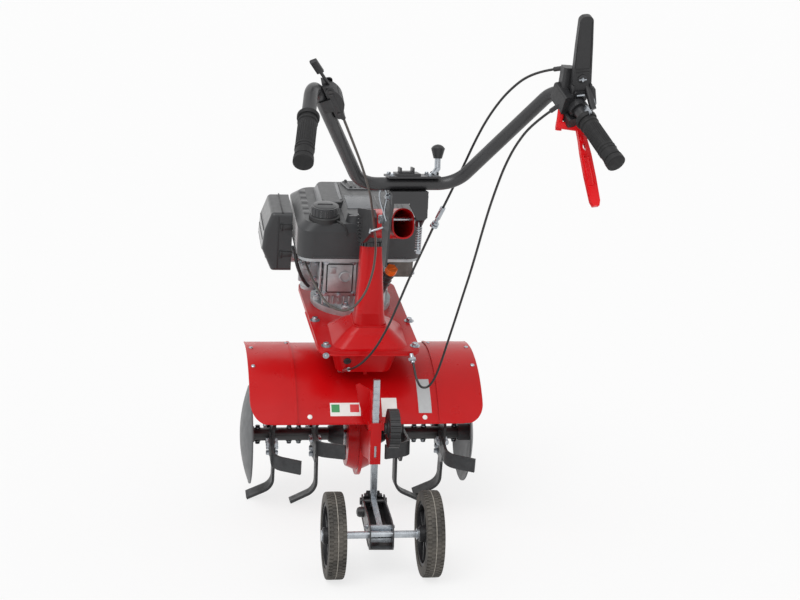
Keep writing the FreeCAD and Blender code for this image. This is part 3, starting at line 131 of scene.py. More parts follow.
def add(material, kind, values=(), links=()):
    """Add a shader node, set its values and link its inputs; names or numbers pick the sockets."""
    node = material.node_tree.nodes.new(kind)
    for key, value in dict(values).items():
        if isinstance(key, str) and hasattr(node, key):
            setattr(node, key, value)
        else:
            node.inputs[key].default_value = value
    for key, socket in dict(links).items():
        join(material, socket, node.inputs[key])
    return node


def finish(name, colour, roughness, **more):
    """A material with its even values set on the shader's own sockets."""
    material = bpy.data.materials.new(name)
    material.use_nodes = True
    shader = shader_of(material)
    shader.inputs["Base Color"].default_value = srgb(colour)
    shader.inputs["Roughness"].default_value = roughness
    for key, value in more.items():
        shader.inputs[key.replace("_", " ")].default_value = value
    add(material, "ShaderNodeTexCoord", {"name": "place"})
    return material


# %% How a finish varies over its surface
def noise(material, size_mm, detail=3.0, stretch=(1, 1, 1)):
    """Noise whose blots are about size_mm across, drawn out along an axis by stretch."""
    place = material.node_tree.nodes["place"].outputs["Object"]
    spread = add(material, "ShaderNodeMapping", {"Scale": [1 / s for s in stretch]},
                 {"Vector": place})
    return add(material, "ShaderNodeTexNoise", {"Scale": 1000 / size_mm, "Detail": detail},
               {"Vector": spread.outputs[0]}).outputs["Fac"]


def mottle(material, other, size_mm, share=0.5, edge=0.25, stretch=(1, 1, 1)):
    """Let the colour drift towards another over patches of size_mm."""
    shader = shader_of(material)
    old = shader.inputs["Base Color"]
    factor = add(material, "ShaderNodeMapRange",
                 {"From Min": 0.5 - edge, "From Max": 0.5 + edge, "To Max": share},
                 {"Value": noise(material, size_mm, stretch=stretch)})
    blend = add(material, "ShaderNodeMix",
                {"data_type": "RGBA", 6: old.default_value[:], 7: srgb(other)},
                {0: factor.outputs[0]})
    if old.links:
        join(material, old.links[0].from_socket, blend.inputs[6])
    join(material, blend.outputs[2], old)


def vary_gloss(material, low, high, size_mm, stretch=(1, 1, 1)):
    """Let the roughness wander between two values."""
    shader = shader_of(material)
    span = add(material, "ShaderNodeMapRange",
               {"From Min": 0.3, "From Max": 0.7, "To Min": low, "To Max": high},
               {"Value": noise(material, size_mm, stretch=stretch)})
    join(material, span.outputs[0], shader.inputs["Roughness"])


def relief(material, size_mm, height_mm, detail=3.0, stretch=(1, 1, 1)):
    """A bump of height_mm whose grains are size_mm across, laid over any bump already there."""
    shader = shader_of(material)
    bump = add(material, "ShaderNodeBump", {"Distance": height_mm / 1000, "Strength": 1.0},
               {"Height": noise(material, size_mm, detail, stretch)})
    normal = shader.inputs["Normal"]
    if normal.links:
        join(material, normal.links[0].from_socket, bump.inputs["Normal"])
    join(material, bump.outputs[0], normal)


# %% [markdown]
# ### Painted steel
# The frame, guard and gearcase are pressed steel with a bright red stoved powder coat: a hard
# glossy film over a faint orange peel of 3 to 4 mm waves. Tubes and small brackets have the same
# coat in black with a satin set. A thin clear coat on the shader gives the second, sharper
# highlight that a paint film has over its pigment.

# %% Red and black powder coat
red_coat = finish("red powder coat on pressed steel", "C4070D", 0.32, IOR=1.33, Coat_Weight=0.07,
                  Coat_Roughness=0.06)
mottle(red_coat, "AE050A", 90, 0.5)
vary_gloss(red_coat, 0.26, 0.36, 40)
relief(red_coat, 4, 0.02)
relief(red_coat, 90, 0.25, 1.0)

black_coat = finish("black powder coat on steel tube", "262628", 0.38, IOR=1.5, Coat_Weight=0.2,
                    Coat_Roughness=0.3)
mottle(black_coat, "333335", 60, 0.5)
vary_gloss(black_coat, 0.33, 0.46, 25)
relief(black_coat, 3, 0.02)

hoe_coat = finish("grey dip paint on spring steel", "2B2C2E", 0.44, IOR=1.5, Metallic=0.2)
mottle(hoe_coat, "46484A", 18, 0.7)
mottle(hoe_coat, "28292B", 6, 0.4)
vary_gloss(hoe_coat, 0.38, 0.56, 12)
relief(hoe_coat, 2.5, 0.04)
print("painted finishes:", red_coat.name, "/", black_coat.name, "/", hoe_coat.name)

# %% [markdown]
# ### Bare and plated metal
# Bolts, the strut bar and the wheel axle are bright zinc: a pale blue-white metal with fine
# drawn lines and a cloudy passivated film. The engine's crankcase and deck are die-cast
# aluminium, shot-blasted to a grain of about half a millimetre. The silencer is aluminised
# sheet, dull from heat.

# %% Zinc, cast aluminium and heat-dulled sheet
zinc = finish("bright zinc plate on steel", "BABFC4", 0.26, Metallic=1.0)
mottle(zinc, "949AA1", 9, 0.6)
vary_gloss(zinc, 0.22, 0.42, 4)
relief(zinc, 0.8, 0.01, stretch=(1, 1, 12))

cast = finish("shot-blasted die-cast aluminium", "C3C7C9", 0.46, Metallic=0.75)
mottle(cast, "979B9E", 22, 0.7)
vary_gloss(cast, 0.40, 0.60, 3)
relief(cast, 0.9, 0.06)
relief(cast, 14, 0.2, 1.0)

dull_sheet = finish("heat-dulled aluminised sheet", "7C7B79", 0.5, Metallic=1.0)
mottle(dull_sheet, "59564F", 30, 0.7)
vary_gloss(dull_sheet, 0.42, 0.62, 8)
relief(dull_sheet, 6, 0.05)
print("metal finishes:", zinc.name, "/", cast.name, "/", dull_sheet.name)

# %% [markdown]
# ### Plastics and rubber
# The engine's cowl is moulded polypropylene with a spark-eroded grain, so it is charcoal rather
# than black and never shiny, and the grain scatters a pale bloom where it is seen along its
# surface, which sheen gives. Levers and wheel rims are glass-filled nylon, a little smoother.
# Grips are soft PVC, tyres are solid rubber with a greyer, dusty bloom, and the cables wear a
# smooth extruded sheath that catches a thin highlight.

# %% Moulded plastics, rubber and sheath
cowl_plastic = finish("spark-eroded black polypropylene", "2D2E30", 0.36, IOR=1.49,
                      Sheen_Weight=0.8, Sheen_Roughness=0.35)
mottle(cowl_plastic, "353638", 50, 0.6)
vary_gloss(cowl_plastic, 0.34, 0.48, 12)
relief(cowl_plastic, 1.2, 0.05)

nylon = finish("moulded glass-filled black nylon", "1F1F21", 0.42, IOR=1.53)
mottle(nylon, "29292B", 20, 0.6)
vary_gloss(nylon, 0.36, 0.50, 6)
relief(nylon, 1.5, 0.02)

red_nylon = finish("moulded red nylon", "E00A14", 0.3, IOR=1.4, Subsurface_Weight=0.05,
                   Subsurface_Radius=(0.004, 0.001, 0.001))
mottle(red_nylon, "CE0810", 30, 0.5)
vary_gloss(red_nylon, 0.24, 0.36, 8)
relief(red_nylon, 2, 0.015)

orange_cap = finish("moulded orange polyethylene", "FF7A24", 0.38, IOR=1.51, Subsurface_Weight=0.08,
                    Subsurface_Radius=(0.004, 0.002, 0.001))
mottle(orange_cap, "E0620F", 8, 0.5)
relief(orange_cap, 1.0, 0.03)

grip_rubber = finish("soft black PVC grip", "19191A", 0.52, IOR=1.4)
mottle(grip_rubber, "232324", 15, 0.6)
vary_gloss(grip_rubber, 0.52, 0.66, 8)
relief(grip_rubber, 0.8, 0.04)

tyre_rubber = finish("solid moulded tyre rubber", "272523", 0.7, IOR=1.5)
mottle(tyre_rubber, "3D3A36", 25, 0.6)
mottle(tyre_rubber, "57534C", 5, 0.4)
mottle(tyre_rubber, "6A655E", 45, 0.5, 0.1)
relief(tyre_rubber, 1.2, 0.08)

sheath = finish("extruded black cable sheath", "171718", 0.32, IOR=1.5)
mottle(sheath, "222223", 30, 0.6)
vary_gloss(sheath, 0.26, 0.40, 10)
print("plastic and rubber finishes:", 7)

# %% [markdown]
# ### The small finishes
# The side discs wear the same dip paint as the hoes but lie in plain view, smoother and paler.
# The tyre's parting line is rubbed grey by the ground, and its pale strip is also a painted
# highlight along the crown. Labels are printed polyester film over a thin adhesive, flat to the
# sheet with a slight gloss. The spark plug's boot, the fuel hose and the tank cap's tether are
# nitrile rubber. The cowl's edges are painted paler as highlights, and the throttle cable has a
# sheath of an older, browner plastic than the other two.

# %% Disc paint, worn rubber with a painted highlight, printed film, hose, highlight-painted and smooth plastic
disc_coat = finish("mid grey dip paint on pressed disc", "56585A", 0.42, IOR=1.5, Metallic=0.2)
mottle(disc_coat, "626467", 60, 0.6)
mottle(disc_coat, "4A4C4D", 14, 0.4)
vary_gloss(disc_coat, 0.36, 0.5, 20)
relief(disc_coat, 3, 0.03)

# The parting line's rubber: ground wear, and a pale colour painted as a highlight along the crown.
worn_and_highlit_rubber = finish("ground-rubbed tyre rubber with a painted highlight", "A39E96", 0.8, IOR=1.5)
mottle(worn_and_highlit_rubber, "66615A", 7, 0.8)
relief(worn_and_highlit_rubber, 1.0, 0.05)

label_film = finish("white printed polyester film", "EDEDEA", 0.32, IOR=1.6)
mottle(label_film, "E1E1DD", 12, 0.5)
vary_gloss(label_film, 0.28, 0.38, 6)
relief(label_film, 6, 0.01)

silver_film = finish("silver printed polyester film", "B5B7B8", 0.34, IOR=1.6, Metallic=0.5)
mottle(silver_film, "A3A5A7", 10, 0.5)
vary_gloss(silver_film, 0.28, 0.42, 5)
relief(silver_film, 6, 0.01)

green_print = finish("green ink on polyester film", "2E8B4F", 0.34, IOR=1.6)
mottle(green_print, "37975A", 5, 0.5)
relief(green_print, 4, 0.01)

red_print = finish("red ink on polyester film", "CE2A2E", 0.34, IOR=1.6)
mottle(red_print, "D8383B", 5, 0.5)
relief(red_print, 4, 0.01)

hose = finish("extruded nitrile rubber hose", "1B1B1C", 0.48, IOR=1.52)
mottle(hose, "262627", 12, 0.6)
vary_gloss(hose, 0.42, 0.55, 6)
relief(hose, 1.5, 0.02)

# A paler plastic for the cowl's edges: a painted highlight where the edges would catch the light.
edge_highlight_plastic = finish("moulded cowl plastic painted pale as an edge highlight", "8A8B8D", 0.34, IOR=1.49)
mottle(edge_highlight_plastic, "6C6D6F", 9, 0.8)
vary_gloss(edge_highlight_plastic, 0.28, 0.44, 6)
relief(edge_highlight_plastic, 1.2, 0.03)

badge_plastic = finish("smooth grey inlay of the cowl", "6E7073", 0.3, IOR=1.5)
mottle(badge_plastic, "5F6164", 30, 0.6)
vary_gloss(badge_plastic, 0.25, 0.38, 14)
relief(badge_plastic, 2.0, 0.02)

throttle_sheath = finish("extruded grey-brown cable sheath", "4A4541", 0.36, IOR=1.5)
mottle(throttle_sheath, "5A544E", 25, 0.6)
vary_gloss(throttle_sheath, 0.3, 0.44, 10)
print("small finishes:", 10)

# %% [markdown]
# ### Which node wears which finish
# The record names a slot for every node. Each slot maps to one finish, so no node is missed.

# %% Dress every node of the construction model
WEARS = {
    "red_paint": red_coat, "red_plastic": red_nylon, "black_paint": black_coat, "zinc_steel": zinc,
    "grey_steel": hoe_coat, "cast_aluminium": cast, "heat_steel": dull_sheet,
    "dark_plastic": cowl_plastic, "orange_plastic": orange_cap, "black_plastic": nylon,
    "grip_rubber": grip_rubber, "tyre_rubber": tyre_rubber, "cable_sheath": sheath,
}
ODD_ONES = {"side_discs": disc_coat, "arm_pins": black_coat, "handle_ferrules": nylon}
for part in frame["record"]["subparts"]:
    mesh = bpy.data.objects[part["node"]].data
    mesh.materials.clear()
    mesh.materials.append(ODD_ONES.get(part["node"], WEARS[part["material_slot"]]))

# %% [markdown]
# ## Tools for the small pieces
# Every small piece is drawn in millimetres of the machine's frame in a bmesh, from cones, blocks
# and turned outlines, and only then taken to metres. A part on the leaning engine or on the
# turned handlebar is drawn with that frame's matrix in front. The finished object stays at the
# origin with its place in its mesh, exactly like a node of the construction model, so patterns
# on Object coordinates keep their real size.


# %% A frame that faces an axis, and the shapes that bolts, clips and caps are made of
def facing(point, axis):
    """A frame at a point whose Z follows an axis."""
    return Matrix.Translation(point) @ Vector(axis).to_track_quat("Z", "Y").to_matrix().to_4x4()


def add_round(bm, place, low, high, height, segments=24):
    """A disc, cone or prism that stands on the place's origin."""
    bmesh.ops.create_cone(bm, cap_ends=True, segments=segments, radius1=low, radius2=high,
                          depth=height, matrix=place @ at(0, 0, height / 2))


def add_block(bm, place, size, edge=0.8):
    """A block about the place's origin with softened edges."""
    verts = bmesh.ops.create_cube(bm, size=1, matrix=place @ Matrix.Diagonal((*size, 1)))["verts"]
    edges = list({e for v in verts for e in v.link_edges})
    bmesh.ops.bevel(bm, geom=edges, offset=edge, segments=2, affect="EDGES", profile=0.5,
                    material=-1)


def add_turned(bm, place, outline, steps=32):
    """Turn an outline of (radius, height) pairs once about the place's Z."""
    before = set(bm.verts)
    ring = [bm.verts.new((radius, 0, height)) for radius, height in outline]
    line = [bm.edges.new(pair) for pair in zip(ring, ring[1:])]
    bmesh.ops.spin(bm, geom=ring + line, cent=(0, 0, 0), axis=(0, 0, 1), angle=math.tau,
                   steps=steps, use_merge=True)
    bmesh.ops.remove_doubles(bm, verts=[v for v in bm.verts if v not in before], dist=0.001)
    bmesh.ops.transform(bm, matrix=place, verts=[v for v in bm.verts if v not in before])


def add_ring(bm, place, radius, thick, steps=32):
    """A round ring of wire about the place's Z."""
    sides = 10
    outline = [(radius + thick * math.cos(math.tau * k / sides),
                thick * math.sin(math.tau * k / sides)) for k in range(sides + 1)]
    add_turned(bm, place, outline, steps)


WASHER_T, CHAMFER_T = 1.4, 0.9
HEX_CORNER = 0.577         # a hexagon's corner radius for a width of one across its flats


def add_bolt(bm, place, across=10.0, head=5.0, washer=8.5):
    """A hexagon head with its chamfer, standing on a washer along the place's Z."""
    corner = across * HEX_CORNER
    add_round(bm, place, washer, washer, WASHER_T)
    add_round(bm, place @ at(0, 0, WASHER_T), corner, corner, head, 6)
    add_round(bm, place @ at(0, 0, WASHER_T + head), across * 0.48, across * 0.40, CHAMFER_T, 12)


# %% From a drawing to a piece that rides a body
def show(thing):
    """Put an object in the scene."""
    bpy.context.scene.collection.objects.link(thing)


def keep(name, bm, material, body, angle=35.0):
    """Take a drawing in machine millimetres to metres; it rides its body, if one is named."""
    bmesh.ops.transform(bm, matrix=MACHINE, verts=bm.verts)
    bmesh.ops.recalc_face_normals(bm, faces=bm.faces)
    mesh = bpy.data.meshes.new(name)
    bm.to_mesh(mesh)
    bm.free()
    mesh.materials.append(material)
    mesh.shade_smooth()
    mesh.set_sharp_from_angle(angle=math.radians(angle))
    made = bpy.data.objects.new(name, mesh)
    show(made)
    if body:
        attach(made, body)
    return made


def strung(name, points, radius):
    """A smooth line drawn by its points; a radius above zero makes it a round wire."""
    curve = bpy.data.curves.new(name, "CURVE")
    curve.dimensions = "3D"
    spline = curve.splines.new("NURBS")
    spline.points.add(len(points) - 1)
    for knot, point in zip(spline.points, points):
        weight = point[3] if len(point) > 3 else 1.0
        knot.co = (*(MACHINE @ Vector(point[:3])), weight)
    spline.order_u = 3
    spline.use_endpoint_u = True
    spline.resolution_u = 8
    curve.bevel_depth = radius / 1000
    curve.bevel_resolution = 2
    curve.use_fill_caps = radius > 0
    return bpy.data.meshes.new_from_object(bpy.data.objects.new(name, curve))


def tube_along(line, radius, sides=16):
    """A round tube along a line, in metres, its rings carried along without twist."""
    bm = bmesh.new()
    turn = (line[1] - line[0]).to_track_quat("Z", "X")
    before = None
    for k, point in enumerate(line):
        ahead = line[min(k + 1, len(line) - 1)] - line[max(k - 1, 0)]
        turn = (turn @ Vector((0, 0, 1))).rotation_difference(ahead) @ turn
        spot = Matrix.Translation(point) @ turn.to_matrix().to_4x4()
        ring = bmesh.ops.create_circle(bm, segments=sides, radius=radius, cap_ends=False,
                                       matrix=spot)["verts"]
        edges = list(dict.fromkeys(edge for vert in ring for edge in vert.link_edges))
        if before:
            bmesh.ops.bridge_loops(bm, edges=before + edges)
        before = edges
    bmesh.ops.holes_fill(bm, edges=[edge for edge in bm.edges if edge.is_boundary], sides=sides)
    return bm


def wire(name, routes, radius, material, body, place=Matrix.Identity(4)):
    """Round wires or pipes as one piece."""
    bm = bmesh.new()
    for route in routes:
        moved = [(*(place @ Vector(point[:3])), *point[3:]) for point in route]
        bm.from_mesh(strung(name, moved, radius))
    bmesh.ops.transform(bm, matrix=MACHINE.inverted(), verts=bm.verts)
    return keep(name, bm, material, body, 60)


print("tools ready")

# %% [markdown]
# ## The rotor's hardware
# Each hoe is held to its flange by two hexagon bolts through both, with the head on the hoe and
# the nut on the flange. The two half axles are pinned through their tubes by bolts whose heads
# stand on top. A hoe's bolts follow the hoe round in quarter turns, so a rotation about the
# axle's line places all of them from one pair.

# %% Hoe bolts and axle bolts
INNER_FLANGE, OUTER_FLANGE = 98.0, 196.0
HOE_REST = {INNER_FLANGE: 0.0, OUTER_FLANGE: 13.0}
HOE_BOLT_R = (34.0, 48.0)
HOE_FACE, FLANGE_BACK = 9.0, 3.0       # from the flange's own plane, along the axle
DISC_RIM_X, DISC_RIM_R, DISC_HUB_X = 247.6, 110.6, 262
bolts = bmesh.new()
for flange_x in (-OUTER_FLANGE, -INNER_FLANGE, INNER_FLANGE, OUTER_FLANGE):
    turned_like_left = flange_x != INNER_FLANGE
    for quarter in range(4):
        side = (-1 if quarter % 2 == 0 else 1) * (1 if turned_like_left else -1)
        face = Vector((-side, 0, 0))
        around = at(0, 0, AXLE_Z) @ spun(HOE_REST[abs(flange_x)] - 90 * quarter, "X")
        for reach in HOE_BOLT_R:
            hole = Vector((flange_x, 0, -reach))
            add_bolt(bolts, around @ facing(hole + face * HOE_FACE, face), 11, 5, 8)
            add_bolt(bolts, around @ facing(hole - face * FLANGE_BACK, -face), 11, 6, 8)
for x in (-228, -156, -134, 134, 156, 228):
    for up in (-1, 1):
        add_bolt(bolts, facing((x, 0, AXLE_Z + up * 15.0), (0, 0, up)), 10, 5, 7)
keep("rotor_bolts", bolts, zinc, "rotor")

rims = bmesh.new()
for side in (-1, 1):
    add_ring(rims, facing((side * DISC_RIM_X, 0, AXLE_Z), (side, 0, 0)), DISC_RIM_R, 1.3, 64)
    add_turned(rims, facing((side * DISC_HUB_X, 0, AXLE_Z), (side, 0, 0)),
               [(19, -2), (19, 3), (16, 4.5), (0, 4.5)], 32)
keep("disc_rims", rims, disc_coat, "rotor")
print("rotor: 32 hoe bolts with nuts, 6 axle bolts, 2 rolled disc rims")

# %% [markdown]
# ## Wheels
# The wheels wear solid tyres, moulded in one piece with a tread of short cross blocks along both
# shoulders, shallow sipes over the middle and the mould's parting line round the crown. The
# outline of the section is turned once about the axle. Every second face of the shoulder bands,
# and the faces between those in the middle bands, are then inset and pushed in, which leaves the
# blocks at the tyre's full radius, so the wheel keeps its size and still stands on the floor.

# %% Tyres with tread
TYRE_R, TYRE_HALF, RIM_R, STEPS = 88.5, 18.0, 67.0, 120
TREAD = ((9.0, 17.6, -1.9, 0), (1.4, 9.0, -1.3, 1))     # band from, band to, depth, first face
TREAD_FROM_R = 80
HUB_FACE = 20.2
WHEELS = {"wheel_left": -109.5, "wheel_right": 87.5}
WHEEL_AXLE = (-510.0, TYRE_R)
section = [(RIM_R, -TYRE_HALF), (82.0, -TYRE_HALF), (86.6, -17.4), (88.1, -15.6), (TYRE_R, -9.5),
           (TYRE_R, -1.5), (87.6, -1.2), (87.6, 1.2), (TYRE_R, 1.5), (TYRE_R, 9.5), (88.1, 15.6),
           (86.6, 17.4), (82.0, TYRE_HALF), (RIM_R, TYRE_HALF), (RIM_R, -TYRE_HALF)]
for body, x in WHEELS.items():
    hub = facing((x, *WHEEL_AXLE), (1, 0, 0))
    tyre = bmesh.new()
    add_turned(tyre, Matrix.Identity(4), section, STEPS)
    bmesh.ops.recalc_face_normals(tyre, faces=tyre.faces)
    for low, high, depth, phase in TREAD:
        grooves = []
        for face in tyre.faces:
            middle = face.calc_center_median()
            step = int(math.atan2(middle.y, middle.x) / math.tau * STEPS + STEPS)
            if low < abs(middle.z) < high and middle.xy.length > TREAD_FROM_R and step % 2 == phase:
                grooves.append(face)
        bmesh.ops.inset_region(tyre, faces=grooves, thickness=0.5, depth=depth,
                               use_even_offset=True)
    bmesh.ops.transform(tyre, matrix=hub, verts=tyre.verts)
    made = keep("tread_" + body, tyre, tyre_rubber, body, 30)
    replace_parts(made, body.replace("wheel", "tyre"))
    # The strip on the parting line is painted pale, partly as ground wear and partly as a highlight
    # on the crown.
    seam = bmesh.new()
    add_turned(seam, hub, [(TYRE_R - 1, -1.1), (TYRE_R - 0.1, -0.8), (TYRE_R - 0.1, 0.8),
                           (TYRE_R - 1, 1.1)], STEPS)
    keep("seam_" + body, seam, worn_and_highlit_rubber, body)
    cap = bmesh.new()
    for out in (-1, 1):
        add_turned(cap, facing((x + out * HUB_FACE, *WHEEL_AXLE), (out, 0, 0)),
                   [(15.5, 0), (15.5, 1.5), (13.5, 2.6), (9.0, 2.6), (8.6, 0.2)], 32)
    keep("hub_rings_" + body, cap, nylon, body)
    print(made.name, "faces", len(made.data.polygons))

# %% [markdown]
# ## The frame plate and the guard
# Four plated screws with wide washers clamp the clutch housing under the leaning plate. The guard
# is three bent sheets: a rolled hem stiffens its free edge, and a pressed bead runs down each
# lap. They are strips of the same arc as the sheet, so each is a small rectangle spun about the
# arc's centre line, a little off the sheet's face.

# %% Plate screws, the plate's rolled lip, the cable's locknut and the housing's blind plug
screws = bmesh.new()
for x, u in ((-106, 165), (-95, 28), (107, 161), (101, 27)):
    add_bolt(screws, LEAN @ at(x, u, 0), 12, 6, 11)
add_bolt(screws, LEAN @ facing((-98, -3.2, -8), (0, -1, 0)), 9, 4, 7)
keep("plate_screws", screws, zinc, "chassis")
LIP_LOW, ROUND_CORNER = -9.4, 0.7      # the lip's height; a curve's weight where it turns
lip = [(-120.6, 230), (-117.6, 150), (-112.8, 60.4), (-111.4, -0.4, LIP_LOW, ROUND_CORNER),
       (-50.6, -0.4), (0, -0.4), (50.6, -0.4), (111.4, -0.4, LIP_LOW, ROUND_CORNER),
       (110.2, 60.4), (107.6, 150), (105.6, 230)]
lip = [point if len(point) > 2 else (*point, LIP_LOW) for point in lip]
wire("plate_lip", [lip], 2.3, red_coat, "chassis", LEAN)
nut = bmesh.new()
add_turned(nut, facing((90.8, -204.8, 382.7), (-0.15, 0.53, 0.83)),
           [(5.0, -3), (9.0, -3), (9.0, 3), (5.0, 3), (5.0, -3)], 6)
keep("cable_locknut", nut, zinc, "chassis")
plug = bmesh.new()
add_turned(plug, LEAN @ facing((-47, 24.3, -34.5), (0, -0.956, -0.293)),
           [(8.6, -2), (8.6, 1.4), (7.6, 2.2), (5.4, 2.2), (4.6, 1.4), (0, 1.4)], 28)
keep("housing_plug", plug, nylon, "chassis")
print("plate: five screws, its lip, the cable's locknut and the blind plug")

# %% Strips that follow the hood's arc
HOOD_Y, HOOD_Z, HOOD_R = 17.85, 114.91, 249.73
MIDDLE_FACE, WING_FACE = 2.0, 4.2
HOOD_REAR, HOOD_SEAM, HOOD_HALF = 150.7, 156.0, 257.0
HEM_FACE, FILM_T, INK_T = 3.3, 0.35, 0.15


def on_hood(x, degrees, lift):
    """A point of the hood: its X, its angle up from straight ahead, its lift off the inner face."""
    lean = math.radians(degrees)
    return (x, HOOD_Y + (HOOD_R + lift) * math.cos(lean), HOOD_Z + (HOOD_R + lift) * math.sin(lean))


def standing_on_hood(x, degrees, lift):
    """A frame on the hood whose Z points away from the arc's centre line."""
    middle = Vector(on_hood(x, degrees, lift))
    return facing(middle, middle - Vector((x, HOOD_Y, HOOD_Z)))


def add_on_hood(bm, x0, x1, from_deg, to_deg, low, high, steps=12):
    """A strip bent to the hood between two X, two angles and two heights."""
    before = set(bm.verts)
    corners = [bm.verts.new(on_hood(x, from_deg, lift))
               for x, lift in ((x0, low), (x1, low), (x1, high), (x0, high))]
    loop = [bm.edges.new((corners[k], corners[(k + 1) % 4])) for k in range(4)]
    bmesh.ops.spin(bm, geom=corners + loop, cent=(0, HOOD_Y, HOOD_Z), axis=(1, 0, 0),
                   angle=math.radians(to_deg - from_deg), steps=steps)
    bmesh.ops.remove_doubles(bm, verts=[v for v in bm.verts if v not in before], dist=0.001)
    bmesh.ops.holes_fill(bm, edges=[e for e in bm.edges if e.is_boundary], sides=4)


beads = bmesh.new()
for side in (-1, 1):
    add_on_hood(beads, side * HOOD_SEAM, side * (HOOD_SEAM + 5), 80, HOOD_REAR - 0.4,
                MIDDLE_FACE, WING_FACE + 1.4, 24)
keep("guard_lap_beads", beads, red_coat, "chassis")
edge = [on_hood(-HOOD_HALF, degrees, HEM_FACE) for degrees in (80, 92, 104, 116, 128)]
edge += [(*on_hood(-HOOD_HALF, HOOD_REAR, HEM_FACE), ROUND_CORNER),
         on_hood(-172, HOOD_REAR, HEM_FACE), on_hood(-150, HOOD_REAR, 1.8)]
edge += [on_hood(-60, HOOD_REAR, 1.2), on_hood(60, HOOD_REAR, 1.2)]
edge += [(-point[0], *point[1:]) for point in reversed(edge[:8])]
wire("guard_hem", [edge], 1.7, red_coat, "chassis")
print("guard: two lap beads and a hem drawn by", len(edge), "points")

# %% Labels left blank, with the coloured stripes that the guard carries, and its plugs
film_face = MIDDLE_FACE + FILM_T
paper = bmesh.new()
add_on_hood(paper, -84, -17, 139.5, 146.6, MIDDLE_FACE, film_face, 6)
add_on_hood(paper, 30, 64, 136.9, 147.2, MIDDLE_FACE, film_face, 8)
keep("guard_labels", paper, label_film, "chassis")
for name, x0, x1, film in (("green_stripe", -81, -63, green_print),
                           ("red_stripe", -40, -20, red_print)):
    stripe = bmesh.new()
    add_on_hood(stripe, x0, x1, 140.4, 144.6, film_face, film_face + INK_T, 4)
    keep(name, stripe, film, "chassis")
grey_label = bmesh.new()
add_on_hood(grey_label, 112, 141, 125.5, 145.3, MIDDLE_FACE, film_face, 12)
keep("guard_side_label", grey_label, silver_film, "chassis")
plugs = bmesh.new()
for x, degrees in ((-129, 146.9), (125, 147.6)):
    add_turned(plugs, standing_on_hood(x, degrees, MIDDLE_FACE),
               [(5.5, 0), (5.2, 1.0), (3.8, 1.8), (0, 2.1)], 24)
keep("guard_plugs", plugs, label_film, "chassis")
screws = bmesh.new()
for x, degrees in ((-247, 97), (-247, 116), (247, 97), (247, 116), (-164, 88), (164, 88)):
    add_turned(screws, standing_on_hood(x, degrees, WING_FACE),
               [(5.0, 0), (4.8, 1.4), (3.4, 2.6), (0, 3.0)], 20)
keep("guard_rivets", screws, zinc, "chassis")
print("guard: three blank labels, two stripes, two plugs and six rivets")

# %% [markdown]
# ## The engine's small parts
# An air-cooled engine looks busy because of what is screwed to it. The cowl's roof climbs in two
# steps from the tank shoulder, and the steps' edges and the panel over the starter are painted
# paler than the grain between them, as highlights. The tank has a fluted cap, the air filter box
# is held by two clips on each side, and the crankcase shows gasketed covers with their screws, the
# flange screws, the carburettor's levers and spring, and the plug with its lead; the dark gaskets
# also paint the shade in the gaps round the covers. All of it leans with the plate, so every part
# is drawn in the leaning frame.

# %% Cowl: louvred panel, edges painted pale as highlights and a blank badge
ENGINE = LEAN @ at(-14, 276, 0)
COWL_LOW, TANK_TOP, ROOF_STEP, COWL_TOP, PANEL_TOP = 157.0, 238.0, 254.0, 257.0, 260.0
cowl = bmesh.new()
for k in range(9):
    add_block(cowl, ENGINE @ at(-8 + 12.0 * k, 67, PANEL_TOP), (4, 38, 2.6), 0.8)
for x, u in ((-6, 47), (92, 54), (92, 86), (-14, 88)):
    add_bolt(cowl, ENGINE @ at(x, u, PANEL_TOP), 6, 2.5, 5)
for u in (-131.4, 131.4):
    add_block(cowl, ENGINE @ at(0, u, COWL_LOW + 3), (206, 2.6, 4.0), 1.0)
for x in (-139.4, 139.4):
    add_block(cowl, ENGINE @ at(x, 0, COWL_LOW + 3), (2.6, 190, 4.0), 1.0)
for k in range(5):
    add_block(cowl, ENGINE @ at(-116 + 0.6 * k, -56 + 34 * k, TANK_TOP), (14, 22, 1.6), 0.6)
for k in range(6):
    add_block(cowl, ENGINE @ at(42 + 11 * k, -46, COWL_TOP), (3, 92, 2.4), 0.8)
keep("cowl_louvres", cowl, cowl_plastic, "chassis")
# The strips on the roof steps, round the panel and along the rear edge are a paler plastic: painted
# highlights on the cowl's edges.
edges = bmesh.new()
add_block(edges, ENGINE @ at(-82.6, 32, 246.4) @ spun(-61, "Y"), (16.5, 118, 1.4), 0.6)
add_block(edges, ENGINE @ at(-36.5, 40, ROOF_STEP + 0.8) @ spun(-30, "Y"), (7, 112, 1.4), 0.5)
add_block(edges, ENGINE @ at(-57, -26.4, ROOF_STEP - 1.5), (44, 2.4, 3.6), 0.8)
for x0, u0, x1, u1 in ((-25, 86, -13, 41), (-13, 41, 92, 41)):
    lie = Matrix.Rotation(math.atan2(u1 - u0, x1 - x0), 4, "Z")
    add_block(edges, ENGINE @ at((x0 + x1) / 2, (u0 + u1) / 2, PANEL_TOP - 0.4) @ lie,
              (math.hypot(x1 - x0, u1 - u0), 2.4, 2.4), 0.8)
add_block(edges, ENGINE @ at(36, -122.6, COWL_TOP - 0.8), (130, 2.2, 2.4), 0.8)
keep("cowl_edge_highlights", edges, edge_highlight_plastic, "chassis")
badge = bmesh.new()
add_block(badge, ENGINE @ at(3, -40, COWL_TOP + 0.4), (60, 84, 2.4), 0.8)
add_block(badge, ENGINE @ at(3, -81, COWL_TOP + 0.6), (64, 3, 2.6), 0.8)
keep("cowl_badge", badge, badge_plastic, "chassis")
# The edges counted here are painted highlights.
print("cowl: panel, louvres, rubbed edges and a blank inlay")

